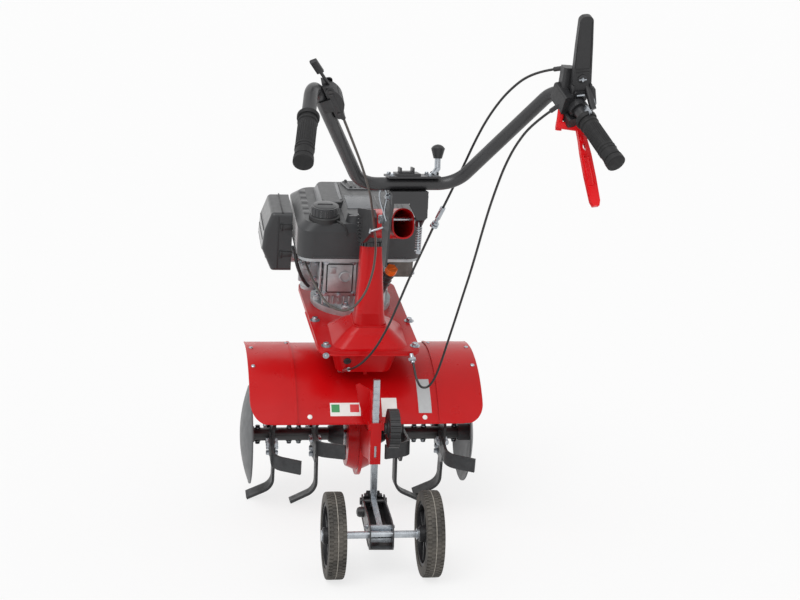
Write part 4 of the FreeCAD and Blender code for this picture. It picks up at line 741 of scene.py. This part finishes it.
# %% Tank cap with flutes and a tether, and the filter box's clips and parting line
CAP = LEAN @ at(-94, 180, 248)
cap = bmesh.new()
for k in range(20):
    add_block(cap, CAP @ Matrix.Rotation(math.tau * k / 20, 4, "Z") @ at(29.6, 0, 10.5),
              (3.2, 5.0, 17), 1.0)
add_turned(cap, CAP, [(26, 21.4), (26, 22.8), (20, 24.4), (7, 24.8), (0, 24.8)], 36)
add_block(cap, CAP @ at(0, 0, 25), (34, 7, 3), 1.2)
keep("tank_cap_grip", cap, cowl_plastic, "chassis")
tether = bmesh.new()
add_turned(tether, CAP, [(25.5, 1), (32, 1), (34.5, -1), (34.5, -11), (25.5, -11)], 36)
keep("tank_cap_tether", tether, hose, "chassis")
tail = [(-70, 158, 242), (-62, 150, 241), (-54, 144.5, 237), (-48, 142.5, 227), (-46, 143, 214)]
wire("tank_cap_tether_tail", [tail], 2.4, hose, "chassis", LEAN)
clips = bmesh.new()
FILTER = LEAN @ at(-161, 276, 0)
for u in (-66.6, 66.6):
    for w in (206, 142):
        add_block(clips, FILTER @ at(-12, u, w), (26, 3.6, 12), 1.0)
        add_block(clips, FILTER @ at(-24, u * 1.02, w), (6, 5.0, 16), 1.4)
for x, w, slope in ((-56.4, 128, -23), (-65.2, 150, 0), (-64.4, 172, 3), (-62.4, 194, 4)):
    add_block(clips, FILTER @ at(x, 0, w) @ spun(slope, "Y"), (1.8, 104, 4), 0.8)
add_block(clips, FILTER @ at(-22, 0, 238.4), (3, 126, 2.6), 0.9)
for u in (-66.4, 66.4):
    add_block(clips, FILTER @ at(-31, u, 170), (3, 2.2, 124), 0.8)
keep("filter_box_clips", clips, nylon, "chassis")
print("tank cap with 20 flutes and its tether; filter box with four clips")

# %% Crankcase: gasketed covers, whose dark gaskets also paint the shade in the gaps, flange lugs and their screws
REAR_WALL, LUG_R = 200.0, 82
LUGS = [ENGINE @ Matrix.Rotation(math.tau * (k + 0.25) / 6, 4, "Z") for k in range(6)]
cover = bmesh.new()
add_block(cover, LEAN @ at(-52, REAR_WALL - 4, 92), (74, 9, 88), 3.0)
add_block(cover, LEAN @ at(-52, REAR_WALL - 9, 92), (56, 4, 66), 2.4)
add_block(cover, LEAN @ at(-46, REAR_WALL - 6, 143), (112, 14, 9), 2.5)
add_block(cover, LEAN @ at(22, REAR_WALL - 3, 88), (40, 8, 60), 3.0)
for k in range(4):
    add_block(cover, LEAN @ at(24, REAR_WALL - 9, 68 + 13 * k), (34, 5, 4), 1.2)
for k in range(7):
    add_block(cover, LEAN @ at(-88 + 12 * k, REAR_WALL - 4, 37), (3.4, 8, 20), 1.2)
for x in (-96, -8):
    add_block(cover, LEAN @ at(x, REAR_WALL - 5, 100), (5, 10, 84), 1.8)
add_turned(cover, LEAN @ facing((-40, REAR_WALL - 10.6, 96), (0, -1, 0)),
           [(14, 0), (14, 3.4), (11, 4.4), (9.4, 0.6), (0, 0.6)], 28)
add_block(cover, LEAN @ at(-68, REAR_WALL - 11.6, 112), (14, 3, 16), 1.2)
for lug in LUGS:
    add_turned(cover, lug @ at(LUG_R, 0, 14), [(10, -2), (10, 8), (8, 10), (0, 10)], 24)
add_turned(cover, LEAN @ facing((-90, 262, 86), (-1, 0, 0)),
           [(34, -2), (34, 4), (30, 7), (16, 7), (14, 10), (0, 10)], 32)
keep("crankcase_covers", cover, cast, "chassis")
# Dark gasket frames round the covers' feet: real gaskets, and also a painted shade in the gaps
# between cover and case.
gasket_and_shade = bmesh.new()
for x, out, w, wide, high in ((-52, 8.6, 92, 61, 71), (22, 0.8, 88, 44, 64),
                              (-46, 0.8, 143, 116, 12.5)):
    add_block(gasket_and_shade, LEAN @ at(x, REAR_WALL - out, w), (wide, 1.8, high), 0.6)
keep("crankcase_gaskets_and_gap_shade", gasket_and_shade, hose, "chassis")
screws = bmesh.new()
for x, w in ((-84, 54), (-20, 54), (-84, 130), (-20, 130), (-52, 50), (6, 62), (38, 114)):
    add_bolt(screws, LEAN @ facing((x, REAR_WALL - 8.4, w), (0, -1, 0)), 8, 4, 6)
for lug in LUGS:
    add_bolt(screws, lug @ at(LUG_R, 0, 24), 10, 5, 8)
for u, w in ((228, 90), (228, 142), (352, 90), (352, 142)):
    add_bolt(screws, LEAN @ facing((118, u, w), (1, 0, 0)), 7, 3, 5)
keep("engine_screws", screws, zinc, "chassis")
print("crankcase: two covers, six lugs, seventeen screws")

# %% Carburettor: levers, springs, fuel hose and bowl
def coil(start, end, radius, turns, count=10):
    """The points of a coil spring between two points of the leaning frame."""
    axis = Vector(end) - Vector(start)
    frame_here = facing(start, axis)
    points = []
    for k in range(turns * count + 1):
        angle = math.tau * k / count
        points.append(tuple(frame_here @ Vector((radius * math.cos(angle), radius * math.sin(angle),
                                                 axis.length * k / (turns * count)))))
    return points


spring = coil((-118, 226, 132), (-92, 206, 138), 3.6, 9)
wire("carburettor_spring", [spring], 0.8, zinc, "chassis", LEAN)
rods = [[(-122, 232, 122), (-126, 214, 128), (-118, 226, 132)],
        [(-104, 236, 60), (-116, 226, 76), (-120, 222, 104), (-112, 230, 122)],
        [(-92, 206, 138), (-72, 198, 142), (-60, 196, 141)]]
wire("carburettor_rods", rods, 1.3, zinc, "chassis", LEAN)
pipe = [(-150, 214, 160), (-152, 210, 142), (-148, 206, 118), (-138, 208, 92), (-126, 222, 66),
        (-116, 240, 52)]
wire("fuel_hose", [pipe], 4.0, hose, "chassis", LEAN)
carb = bmesh.new()
for z in (40, 52):
    add_ring(carb, LEAN @ at(-110, 276, z), 20.5, 1.8, 32)
add_turned(carb, LEAN @ at(-110, 276, 38), [(21, 0), (20, -4), (14, -7), (6, -8), (0, -8)], 32)
add_block(carb, LEAN @ at(-118, 243, 90), (44, 10, 52), 2.5)
add_block(carb, LEAN @ at(-122, 232, 120), (26, 8, 12), 2.0)
add_turned(carb, LEAN @ facing((-124, 240, 104), (0, -1, 0)),
           [(10, 0), (10, 8), (7, 11), (0, 11)], 24)
keep("carburettor_body", carb, cast, "chassis")
screws = bmesh.new()
for x, w in ((-134, 72), (-102, 72), (-102, 108), (-134, 108)):
    add_bolt(screws, LEAN @ facing((x, 237.8, w), (0, -1, 0)), 6, 3, 4.5)
add_turned(screws, LEAN @ facing((-120, 228, 128), (0, -1, 0)),
           [(5, 0), (5, 5), (3.4, 6.5), (0, 6.5)], 20)
keep("carburettor_screws", screws, zinc, "chassis")
print("carburettor: bowl, levers, rods, spring, hose and screws")

# %% Spark plug, its boot and lead, and the silencer's outlet
boot = bmesh.new()
add_turned(boot, LEAN @ facing((-14, 408, 92), (0, -0.05, 1)),
           [(0, -4), (6, -4), (8.5, -1), (8.5, 14), (6.5, 22), (8, 24), (8, 38), (5.4, 43),
            (0, 43)], 24)
keep("plug_boot", boot, hose, "chassis")
lead = [(-14, 406, 130), (-14, 405, 146), (-6, 403, 156), (10, 400, 164)]
wire("plug_lead", [lead], 3.2, hose, "chassis", LEAN)
plug = bmesh.new()
add_round(plug, LEAN @ facing((-14, 404, 98), (0, 1, 0)), 11, 11, 8, 6)
add_turned(plug, LEAN @ facing((92, 354, 108), (0, 1, 0)),
           [(0, 0), (13, 0), (13, 18), (11, 18), (11, 2), (0, 2)], 28)
keep("plug_and_outlet", plug, dull_sheet, "chassis")
print("spark plug, boot, lead and silencer outlet")

# %% Oil filler cap: a six-sided grip on its neck
OIL_TIP, OIL_LINE = Vector((60, 184, 109)), Vector((16, -26, 57))
cap = bmesh.new()
OIL = LEAN @ facing(OIL_TIP, OIL_LINE)
add_round(cap, OIL @ at(0, 0, 1), 12.5, 13.5, 4, 24)
add_round(cap, OIL @ at(0, 0, 5), 14.5, 13.5, 10, 6)
add_block(cap, OIL @ at(0, 0, 14.4), (20, 5, 3), 1.2)
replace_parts(keep("oil_cap_grip", cap, orange_cap, "chassis"), "oil_cap")
neck = bmesh.new()
for along in (-34, -22, -8):
    add_ring(neck, OIL @ at(0, 0, along), 11.2, 1.4, 24)
keep("oil_neck_rings", neck, cowl_plastic, "chassis")
print("engine dressed")

# %% [markdown]
# ## The handlebar and its controls
# The bar turns about the swivel with everything on it, so these parts are drawn in the frame of
# the turned bar. Each hand end has a soft grip with collars and flutes, the right hand carries
# the two levers with their pins and hook, the left hand the throttle, and the cross tube its
# clamp. A local frame on each lever lets its ribs be placed by how far along the lever they are.

# %% Grips: collars, rings and flutes
BAR_END, BAR_BEND = Vector((288, -829, 886)), Vector((239, -656, 1014))
grip = bmesh.new()
for side in (-1, 1):
    end = Vector((side * BAR_END.x, BAR_END.y, BAR_END.z))
    bend = Vector((side * BAR_BEND.x, BAR_BEND.y, BAR_BEND.z))
    hand = SWING @ facing(end, bend - end)
    add_turned(grip, hand,
               [(13.4, 109), (19.4, 110), (20.6, 112), (20.6, 118), (18.4, 120), (13.4, 120)], 36)
    add_turned(grip, hand, [(16.9, 98), (18.6, 99), (18.6, 102), (16.9, 103)], 36)
    for along in (8, 26, 33):
        add_ring(grip, hand @ at(0, 0, along), 16.9, 1.2, 36)
    for k in range(26):
        add_block(grip, hand @ Matrix.Rotation(math.tau * k / 26, 4, "Z") @ at(16.9, 0, 65),
                  (1.4, 1.9, 52), 0.5)
    add_turned(grip, hand, [(18.4, -4.6), (16.6, -6.2), (12, -6.6), (0, -6.6)], 36)
keep("grip_flutes", grip, grip_rubber, "handlebar")
print("grips: 26 flutes each, collars and end caps")

# %% Frames on the two levers and on the throttle
def lever_frame(foot, head):
    """A frame whose Z runs up a lever and whose X lies across it."""
    along = (Vector(head) - Vector(foot)).normalized()
    across = (Vector((1, 0, 0)) - along * along.x).normalized()
    out = along.cross(across)
    turn = Matrix((across, out, along)).transposed().to_4x4()
    return SWING @ Matrix.Translation(foot) @ turn


MOUNT = Vector((252.8, -704.6, 978.0))
CLUTCH = lever_frame(MOUNT + Vector((4, -12, 38)), (242, -768, 1145))
REVERSE = lever_frame(MOUNT + Vector((12, 2, -47)), (279, -768, 795))
THROTTLE = lever_frame((-189.6, -623.1, 978.4), (-189.6 - 42.9, -623.1 - 61.9, 978.4 + 65.8))
print("levers and throttle placed")

# %% Clutch lever: edge ribs, its ears and its pins
ribs = bmesh.new()
for side in (-1, 1):
    tilt = spun(-side * 2.0, "Y")
    add_block(ribs, CLUTCH @ at(side * 13.0, -6.2, 82) @ tilt, (2.2, 2.4, 92), 0.8)
    add_block(ribs, CLUTCH @ at(side * 17.5, -3, -6), (5, 15, 20), 2)
add_block(ribs, CLUTCH @ at(24, -5, -22) @ spun(-8, "Y"), (9, 16, 36), 3.4)
add_block(ribs, CLUTCH @ at(-19, -4, -26) @ spun(6, "Y"), (6, 14, 28), 2.4)
for along in (34, 28):
    add_block(ribs, CLUTCH @ at(0, -6.0, along), (25, 2.6, 2.4), 0.8)
add_turned(ribs, CLUTCH @ facing((0, -5, 15), (0, -1, 0)),
           [(8.6, 0), (8.6, 2.5), (7, 3.5), (0, 3.5)], 28)
keep("clutch_lever_ribs", ribs, nylon, "handlebar")
pins = bmesh.new()
add_block(pins, CLUTCH @ at(0, -9.6, 15), (15, 2.4, 2.6), 0.6)
add_block(pins, CLUTCH @ at(0, -9.6, 15), (2.6, 2.4, 9), 0.6)
add_round(pins, CLUTCH @ at(0, -9.2, 15) @ spun(90, "X"), 3.4, 2.6, 2.4, 16)
add_round(pins, CLUTCH @ facing((-10, -10, -17), (1, 0, 0)), 2.6, 2.6, 15, 16)
hand_line = (BAR_BEND - BAR_END).normalized()
add_block(pins, SWING @ facing(BAR_BEND - hand_line * 100 + Vector((0, -10.5, 12.5)), hand_line)
          @ spun(90, "Z"), (18, 3, 22), 1.0)
keep("clutch_lever_pins", pins, zinc, "handlebar")
hook = [(12, -11, -20), (20, -13, -21), (24, -14, -26), (26, -15, -36), (24, -15, -47),
        (17, -13, -52)]
wire("lever_hook", [hook], 1.3, zinc, "handlebar", CLUTCH)
print("clutch lever: ribs, jaws, pins and hook")

# %% Reverse lever: ribs round its groove and pivot; throttle: case ribs, screws and lever pivot
ribs = bmesh.new()
for side in (-1, 1):
    add_block(ribs, REVERSE @ at(side * 6.2, 5.4, 81), (1.6, 1.8, 60), 0.6)
for along in (51.4, 110.6):
    add_block(ribs, REVERSE @ at(0, 5.4, along), (12.4, 1.8, 1.6), 0.6)
add_turned(ribs, REVERSE @ facing((0, 4.4, 20), (0, 1, 0)),
           [(6.5, 0), (6.5, 3), (4.6, 4), (0, 4)], 24)
keep("reverse_lever_ribs", ribs, red_nylon, "handlebar")
case = bmesh.new()
for out in (-1, 1):
    add_block(case, THROTTLE @ at(-2, out * 12.2, 0), (10, 1.8, 62), 0.8)
    add_turned(case, THROTTLE @ facing((0, out * 11.5, 38), (0, out, 0)),
               [(8, 0), (8, 2.4), (6, 3.2), (0, 3.2)], 24)
for k in range(7):
    add_block(case, THROTTLE @ at(14.4 - abs(k - 3) * 0.75, 0, -16 + 6 * k), (2.4, 18, 2.0), 0.5)
add_turned(case, THROTTLE @ at(-2, 0, -56), [(0, 0), (5.4, 0), (6.4, 3), (6.4, 8), (0, 8)], 24)
keep("throttle_case_ribs", case, nylon, "handlebar")
screws = bmesh.new()
for out in (-1, 1):
    for along in (-30, 26):
        add_turned(screws, THROTTLE @ facing((-2, out * 13.0, along), (0, out, 0)),
                   [(3, 0), (3, 1), (2, 1.6), (0, 1.6)], 16)
    add_turned(screws, THROTTLE @ facing((0, out * 14.5, 38), (0, out, 0)),
               [(4, 0), (4, 1.6), (0, 1.6)], 6)
keep("throttle_screws", screws, black_coat, "handlebar")
screws = bmesh.new()
for side in (-1, 1):
    add_bolt(screws, SWING @ facing(MOUNT + Vector((side * 10, 4, -37)), (0, 0.3, -1)), 6, 3, 4.5)
keep("control_screws", screws, zinc, "handlebar")
print("right hand: levers with ribs and pins; left hand: throttle case")

# %% Cross tube: clamp screws, its slider and the swivel's lock
BAR_Y, BAR_TOP = -453.0, 811.0
LOCK_X, LOCK_Y = 31, -434
SPRING_R, SPRING_FOOT, SPRING_LEN, COILS, COIL_STEPS = 5.4, 664, 44, 9, 12
screws = bmesh.new()
for x in (-36, 42):
    for y in (-14, 14):
        add_bolt(screws, SWING @ at(x, BAR_Y + y, BAR_TOP + 4), 7, 3, 5)
for side in (-1, 1):
    add_bolt(screws, SWING @ facing((side * 37, BAR_Y + 4, BAR_TOP - 40), (side, 0, 0)), 10, 5, 8)
add_round(screws, SWING @ at(LOCK_X, LOCK_Y, 655), 2.4, 2.4, 62, 16)
add_bolt(screws, SWING @ facing((LOCK_X, LOCK_Y, 660), (0, 0, -1)), 9, 5, 7)
keep("clamp_screws", screws, zinc, "handlebar")
slider = bmesh.new()
add_block(slider, SWING @ at(-4, BAR_Y, BAR_TOP + 10), (30, 22, 4), 1.2)
for x in (-17, 9):
    add_block(slider, SWING @ at(x, BAR_Y, BAR_TOP + 14), (4, 22, 12), 1.4)
add_turned(slider, SWING @ facing((60, BAR_Y + 20, BAR_TOP + 2), (0.1, 0.1, 1)),
           [(0, 0), (9, 0), (9, 5), (7, 7), (0, 7)], 28)
for side in (-1, 1):
    add_block(slider, SWING @ at(side * 37.4, BAR_Y, BAR_TOP - 28), (1.8, 42, 3), 0.7)
keep("clamp_slider", slider, black_coat, "handlebar")
spring = []
for k in range(COILS * COIL_STEPS + 1):
    angle = math.tau * k / COIL_STEPS
    spring.append((LOCK_X + SPRING_R * math.cos(angle), LOCK_Y + SPRING_R * math.sin(angle),
                   SPRING_FOOT + SPRING_LEN * k / (COILS * COIL_STEPS)))
wire("lock_spring", [spring], 1.1, zinc, "handlebar", SWING)
pin_wire = [(-12, -452, 723), (-19, -452, 741), (-28, -452, 769), (-27, -452, 784),
            (-19, -452, 789), (-13, -452, 781), (-12, -452, 766), (-18, -452, 741),
            (-14, -452, 728)]
wire("hairpin", [pin_wire], 1.8, zinc, "handlebar")
clip = [[(-37, -402, 694), (-20, -404, 699), (-6, -412, 706)], [(-38, -402, 690), (-36, -402, 699)]]
wire("cable_clip", clip, 2.2, zinc, "handlebar")
print("cross tube: clamp, slider, lock spring, hairpin and cable clip")

# %% Weld beads round the neck, the knob's boss and the arm's small parts
def corner_loop(x, y, wide, deep, lift, radius):
    """A loop with round corners, given to a wire as points with corner weights."""
    loop = []
    for sx, sy in ((1, 1), (-1, 1), (-1, -1), (1, -1)):
        cx, cy = x + sx * wide / 2, y + sy * deep / 2
        first = (cx, cy - sy * radius, lift) if sx * sy > 0 else (cx - sx * radius, cy, lift)
        last = (cx - sx * radius, cy, lift) if sx * sy > 0 else (cx, cy - sy * radius, lift)
        loop += [first, (cx, cy, lift, 0.6), last]
    return loop + loop[:1]


wire("neck_weld", [corner_loop(2, 80, 70.6, 74.6, 40, 17)], 1.7, red_coat, "chassis", LEAN)
wire("housing_seam", [corner_loop(-8, 118, 153, 207, -6, 26)], 1.8, red_coat, "chassis", LEAN)
STRUT_Y, KNOB_Z, ARM_SKEW = -300, 254, -3.5
knob = bmesh.new()
add_turned(knob, facing((49, STRUT_Y, KNOB_Z), (1, 0, 0)),
           [(24, 0), (24, 1.4), (20, 2.2), (13, 2.2), (13, 5), (10, 7), (0, 7)], 40)
add_turned(knob, facing((27, STRUT_Y, KNOB_Z), (-1, 0, 0)),
           [(20, 0), (20, 2), (12, 4), (12, 8), (0, 8)], 40)
keep("knob_boss", knob, nylon, "chassis")
ARM = at(0, STRUT_Y, 0) @ spun(ARM_SKEW, "Z") @ at(0, -STRUT_Y, 0)
bracket = bmesh.new()
add_turned(bracket, ARM @ facing((-34, -360, 88), (-1, 0, 0)),
           [(11, 0), (9, 4), (4, 6), (0, 6)], 28)
for x in (-25.4, 25.4):
    add_block(bracket, ARM @ at(x, -420, 66), (2.4, 190, 3.4), 0.8)
for x in (-15, 15):
    add_block(bracket, ARM @ at(x, -291, 104), (9, 14, 5), 1.4)
keep("arm_bracket_ribs", bracket, black_coat, "strut")
screws = bmesh.new()
for side in (-1, 1):
    add_bolt(screws, ARM @ facing((side * 25, -470, 92), (side, 0, 0)), 8, 4, 6)
add_round(screws, ARM @ facing((0, -497, 80), (0, -1, 0)), 7, 7, 6, 6)
keep("arm_screws", screws, zinc, "strut")
print("handlebar, neck, knob and arm dressed")

# %% [markdown]
# ## Cables
# Three sheathed cables run from the hand controls to the machine: the clutch cable to the
# housing's rear face, the reverse cable in a tight loop up to the plate, and the throttle cable
# round the swivel to the carburettor. Each is one smooth NURBS line through the space between
# the points of its route, which is how a springy sheath lies, and a tube of 5 mm follows it. The
# cables ride no body and stay as they are drawn.

# %% The three routes, in machine millimetres
ROUTES = {
    "clutch_cable": [
        (271, -640, 1041), (242, -583, 1031), (207, -534, 992), (181, -492, 942),
        (164, -449, 889), (147, -415, 830), (126, -389, 769), (103, -363, 707), (83, -336, 646),
        (62, -310, 584), (43, -286, 521), (23, -261, 458), (-3, -235, 402), (-33, -207, 364),
        (-44, -174, 354)],
    "reverse_cable": [
        (264, -655, 964), (238, -616, 935), (219, -573, 893), (208, -530, 847), (201, -493, 800),
        (195, -457, 751), (190, -424, 701), (185, -392, 649), (179, -361, 597), (171, -332, 544),
        (163, -304, 491), (154, -278, 438), (145, -260, 390), (134, -249, 350), (121, -243, 329),
        (106, -240, 328), (98, -235, 342), (95, -225, 354), (94, -216, 365), (92, -209, 376)],
    "throttle_cable": [
        (-121, -599, 938), (-100, -573, 894), (-80, -545, 852), (-63, -510, 813),
        (-48, -470, 777), (-38, -428, 744), (-28, -384, 712), (-19, -338, 684), (-9, -292, 655),
        (-3, -248, 621), (-3, -218, 576), (-18, -207, 524), (-52, -203, 486), (-91, -173, 493),
        (-112, -129, 523), (-123, -79, 547), (-126, -28, 558), (-127, 5, 563)],
}
print("route points:", {node: len(points) for node, points in ROUTES.items()})


def follow(made):
    """Bake a piece's place into its mesh; it rides no body."""
    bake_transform(made)


def line_of(node):
    """The points of a cable's smooth line, in metres."""
    return [v.co.copy() for v in strung(node + "_line", ROUTES[node], 0).vertices]


# %% The clutch cable's adjuster, its locknut and its pivot
line = line_of("clutch_cable")
fittings = bmesh.new()
BARREL = [(2.6, -18), (5.4, -18), (5.4, 10), (4.0, 12), (4.0, 20), (2.6, 20)]
LOCKNUT = [(2.6, -5), (7.0, -5), (7.0, -1), (4.6, 0), (8.4, 1), (8.4, 6), (2.6, 6)]
for height, outline, thread_r in ((0.724, BARREL, 5.2), (0.700, LOCKNUT, 3.2)):
    middle = min(range(len(line)), key=lambda k: abs(line[k].z - height))
    spot = facing(MACHINE.inverted() @ line[middle], line[middle + 1] - line[middle - 1])
    add_turned(fittings, spot, outline, 24)
    for along in (-16, -13, -10):
        add_ring(fittings, spot @ at(0, 0, along), thread_r, 0.7, 24)
add_round(fittings, spot @ at(-12, 0, 2) @ spun(90, "Y"), 2.2, 2.2, 24, 16)
adjuster = keep("clutch_adjuster", fittings, zinc, None)
follow(adjuster)
print("adjuster on the clutch cable")

# %% The cables themselves
CABLE_R = 0.0025
for node in ROUTES:
    line = line_of(node)
    tube = tube_along(line, CABLE_R)
    bmesh.ops.transform(tube, matrix=MACHINE.inverted(), verts=tube.verts)
    cover = throttle_sheath if "throttle" in node else sheath
    made = keep(node.replace("cable", "sheath"), tube, cover, None, 60)
    follow(made)
    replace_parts(made, node)

# %% [markdown]
# ## Floor, light and camera
# A pale floor that runs past the view, one broad soft sun from the upper left and an even sky
# light the machine so that a colour looks as it is written. The sky is white to the eye, to
# mirrors and to glass, and most of the floor's own white is shown to the same rays, so the
# machine's shadow stays on it but is faint.


# %% Which rays see the studio's white
def seen_directly(material):
    """One for camera, mirror and glass rays, and nothing for the rays that light things."""
    paths = add(material, "ShaderNodeLightPath")
    seen = paths.outputs["Is Camera Ray"]
    for other in ("Is Glossy Ray", "Is Transmission Ray"):
        either = add(material, "ShaderNodeMath", {"operation": "MAXIMUM"},
                     {0: seen, 1: paths.outputs[other]})
        seen = either.outputs[0]
    return seen


# %% Floor
FLOOR_HALF = 400           # metres, so that its edge is never seen
OWN_WHITE = 0.75           # the share of the floor's white that no shadow reaches
sheet = bmesh.new()
bmesh.ops.create_grid(sheet, x_segments=1, y_segments=1, size=FLOOR_HALF)
floor_mesh = bpy.data.meshes.new("studio_floor")
sheet.to_mesh(floor_mesh)
sheet.free()
studio_floor = bpy.data.objects.new("studio_floor", floor_mesh)
show(studio_floor)
floor_paint = finish("pale studio floor", "F4F4F4", 0.9)
share = add(floor_paint, "ShaderNodeMath", {"operation": "MULTIPLY", 1: OWN_WHITE},
            {0: seen_directly(floor_paint)})
glow = add(floor_paint, "ShaderNodeEmission", {"Strength": 1.0})
both = add(floor_paint, "ShaderNodeMixShader", {},
           {0: share.outputs[0], 1: shader_of(floor_paint).outputs[0], 2: glow.outputs[0]})
join(floor_paint, both.outputs[0], floor_paint.node_tree.nodes["Material Output"].inputs["Surface"])
floor_mesh.materials.append(floor_paint)
print("floor reaches", FLOOR_HALF, "m each way")

# %% Sky and sun
SKY_LIGHT, SUN_STRENGTH, SUN_SPREAD = 0.62, 1.5, 40
world = bpy.data.worlds.new("soft studio sky")
bpy.context.scene.world = world
world.use_nodes = True
level = add(world, "ShaderNodeMapRange", {"To Min": SKY_LIGHT, "To Max": 1.0},
            {"Value": seen_directly(world)})
background = world.node_tree.nodes["Background"]
join(world, level.outputs[0], background.inputs["Strength"])
background.inputs["Color"].default_value = (1, 1, 1, 1)
sun_light = bpy.data.lights.new("soft_sun", "SUN")
sun_light.energy = SUN_STRENGTH
sun_light.angle = math.radians(SUN_SPREAD)
soft_sun = bpy.data.objects.new("soft_sun", sun_light)
soft_sun.rotation_euler = Vector((0.45, 0.75, -1.0)).to_track_quat("-Z", "Y").to_euler()
show(soft_sun)
bpy.context.scene.view_settings.view_transform = "Standard"
print("sky", SKY_LIGHT, "and sun", SUN_STRENGTH)

# %% Camera behind the handlebar, a little above it and looking forward
CAMERA_YAW = math.radians(9.0)
CAMERA_PITCH = math.radians(10.8)
CAMERA_ROLL = math.radians(1.8)
LENS_MM, SENSOR_MM = 78.39, 36
eye = MACHINE @ Vector((-518.7, -3855.7, 1219.7))
ahead = Vector((math.sin(CAMERA_YAW) * math.cos(CAMERA_PITCH),
                math.cos(CAMERA_YAW) * math.cos(CAMERA_PITCH), -math.sin(CAMERA_PITCH)))
turn = (-ahead).to_track_quat("Z", "Y").to_matrix() @ Matrix.Rotation(CAMERA_ROLL, 3, "Z")
camera_data = bpy.data.cameras.new("view")
camera_data.lens = LENS_MM
camera_data.sensor_width = SENSOR_MM
camera = bpy.data.objects.new("view", camera_data)
camera.matrix_world = Matrix.Translation(eye) @ turn.to_4x4()
show(camera)
bpy.context.scene.camera = camera
print("camera at", [round(v, 3) for v in eye])
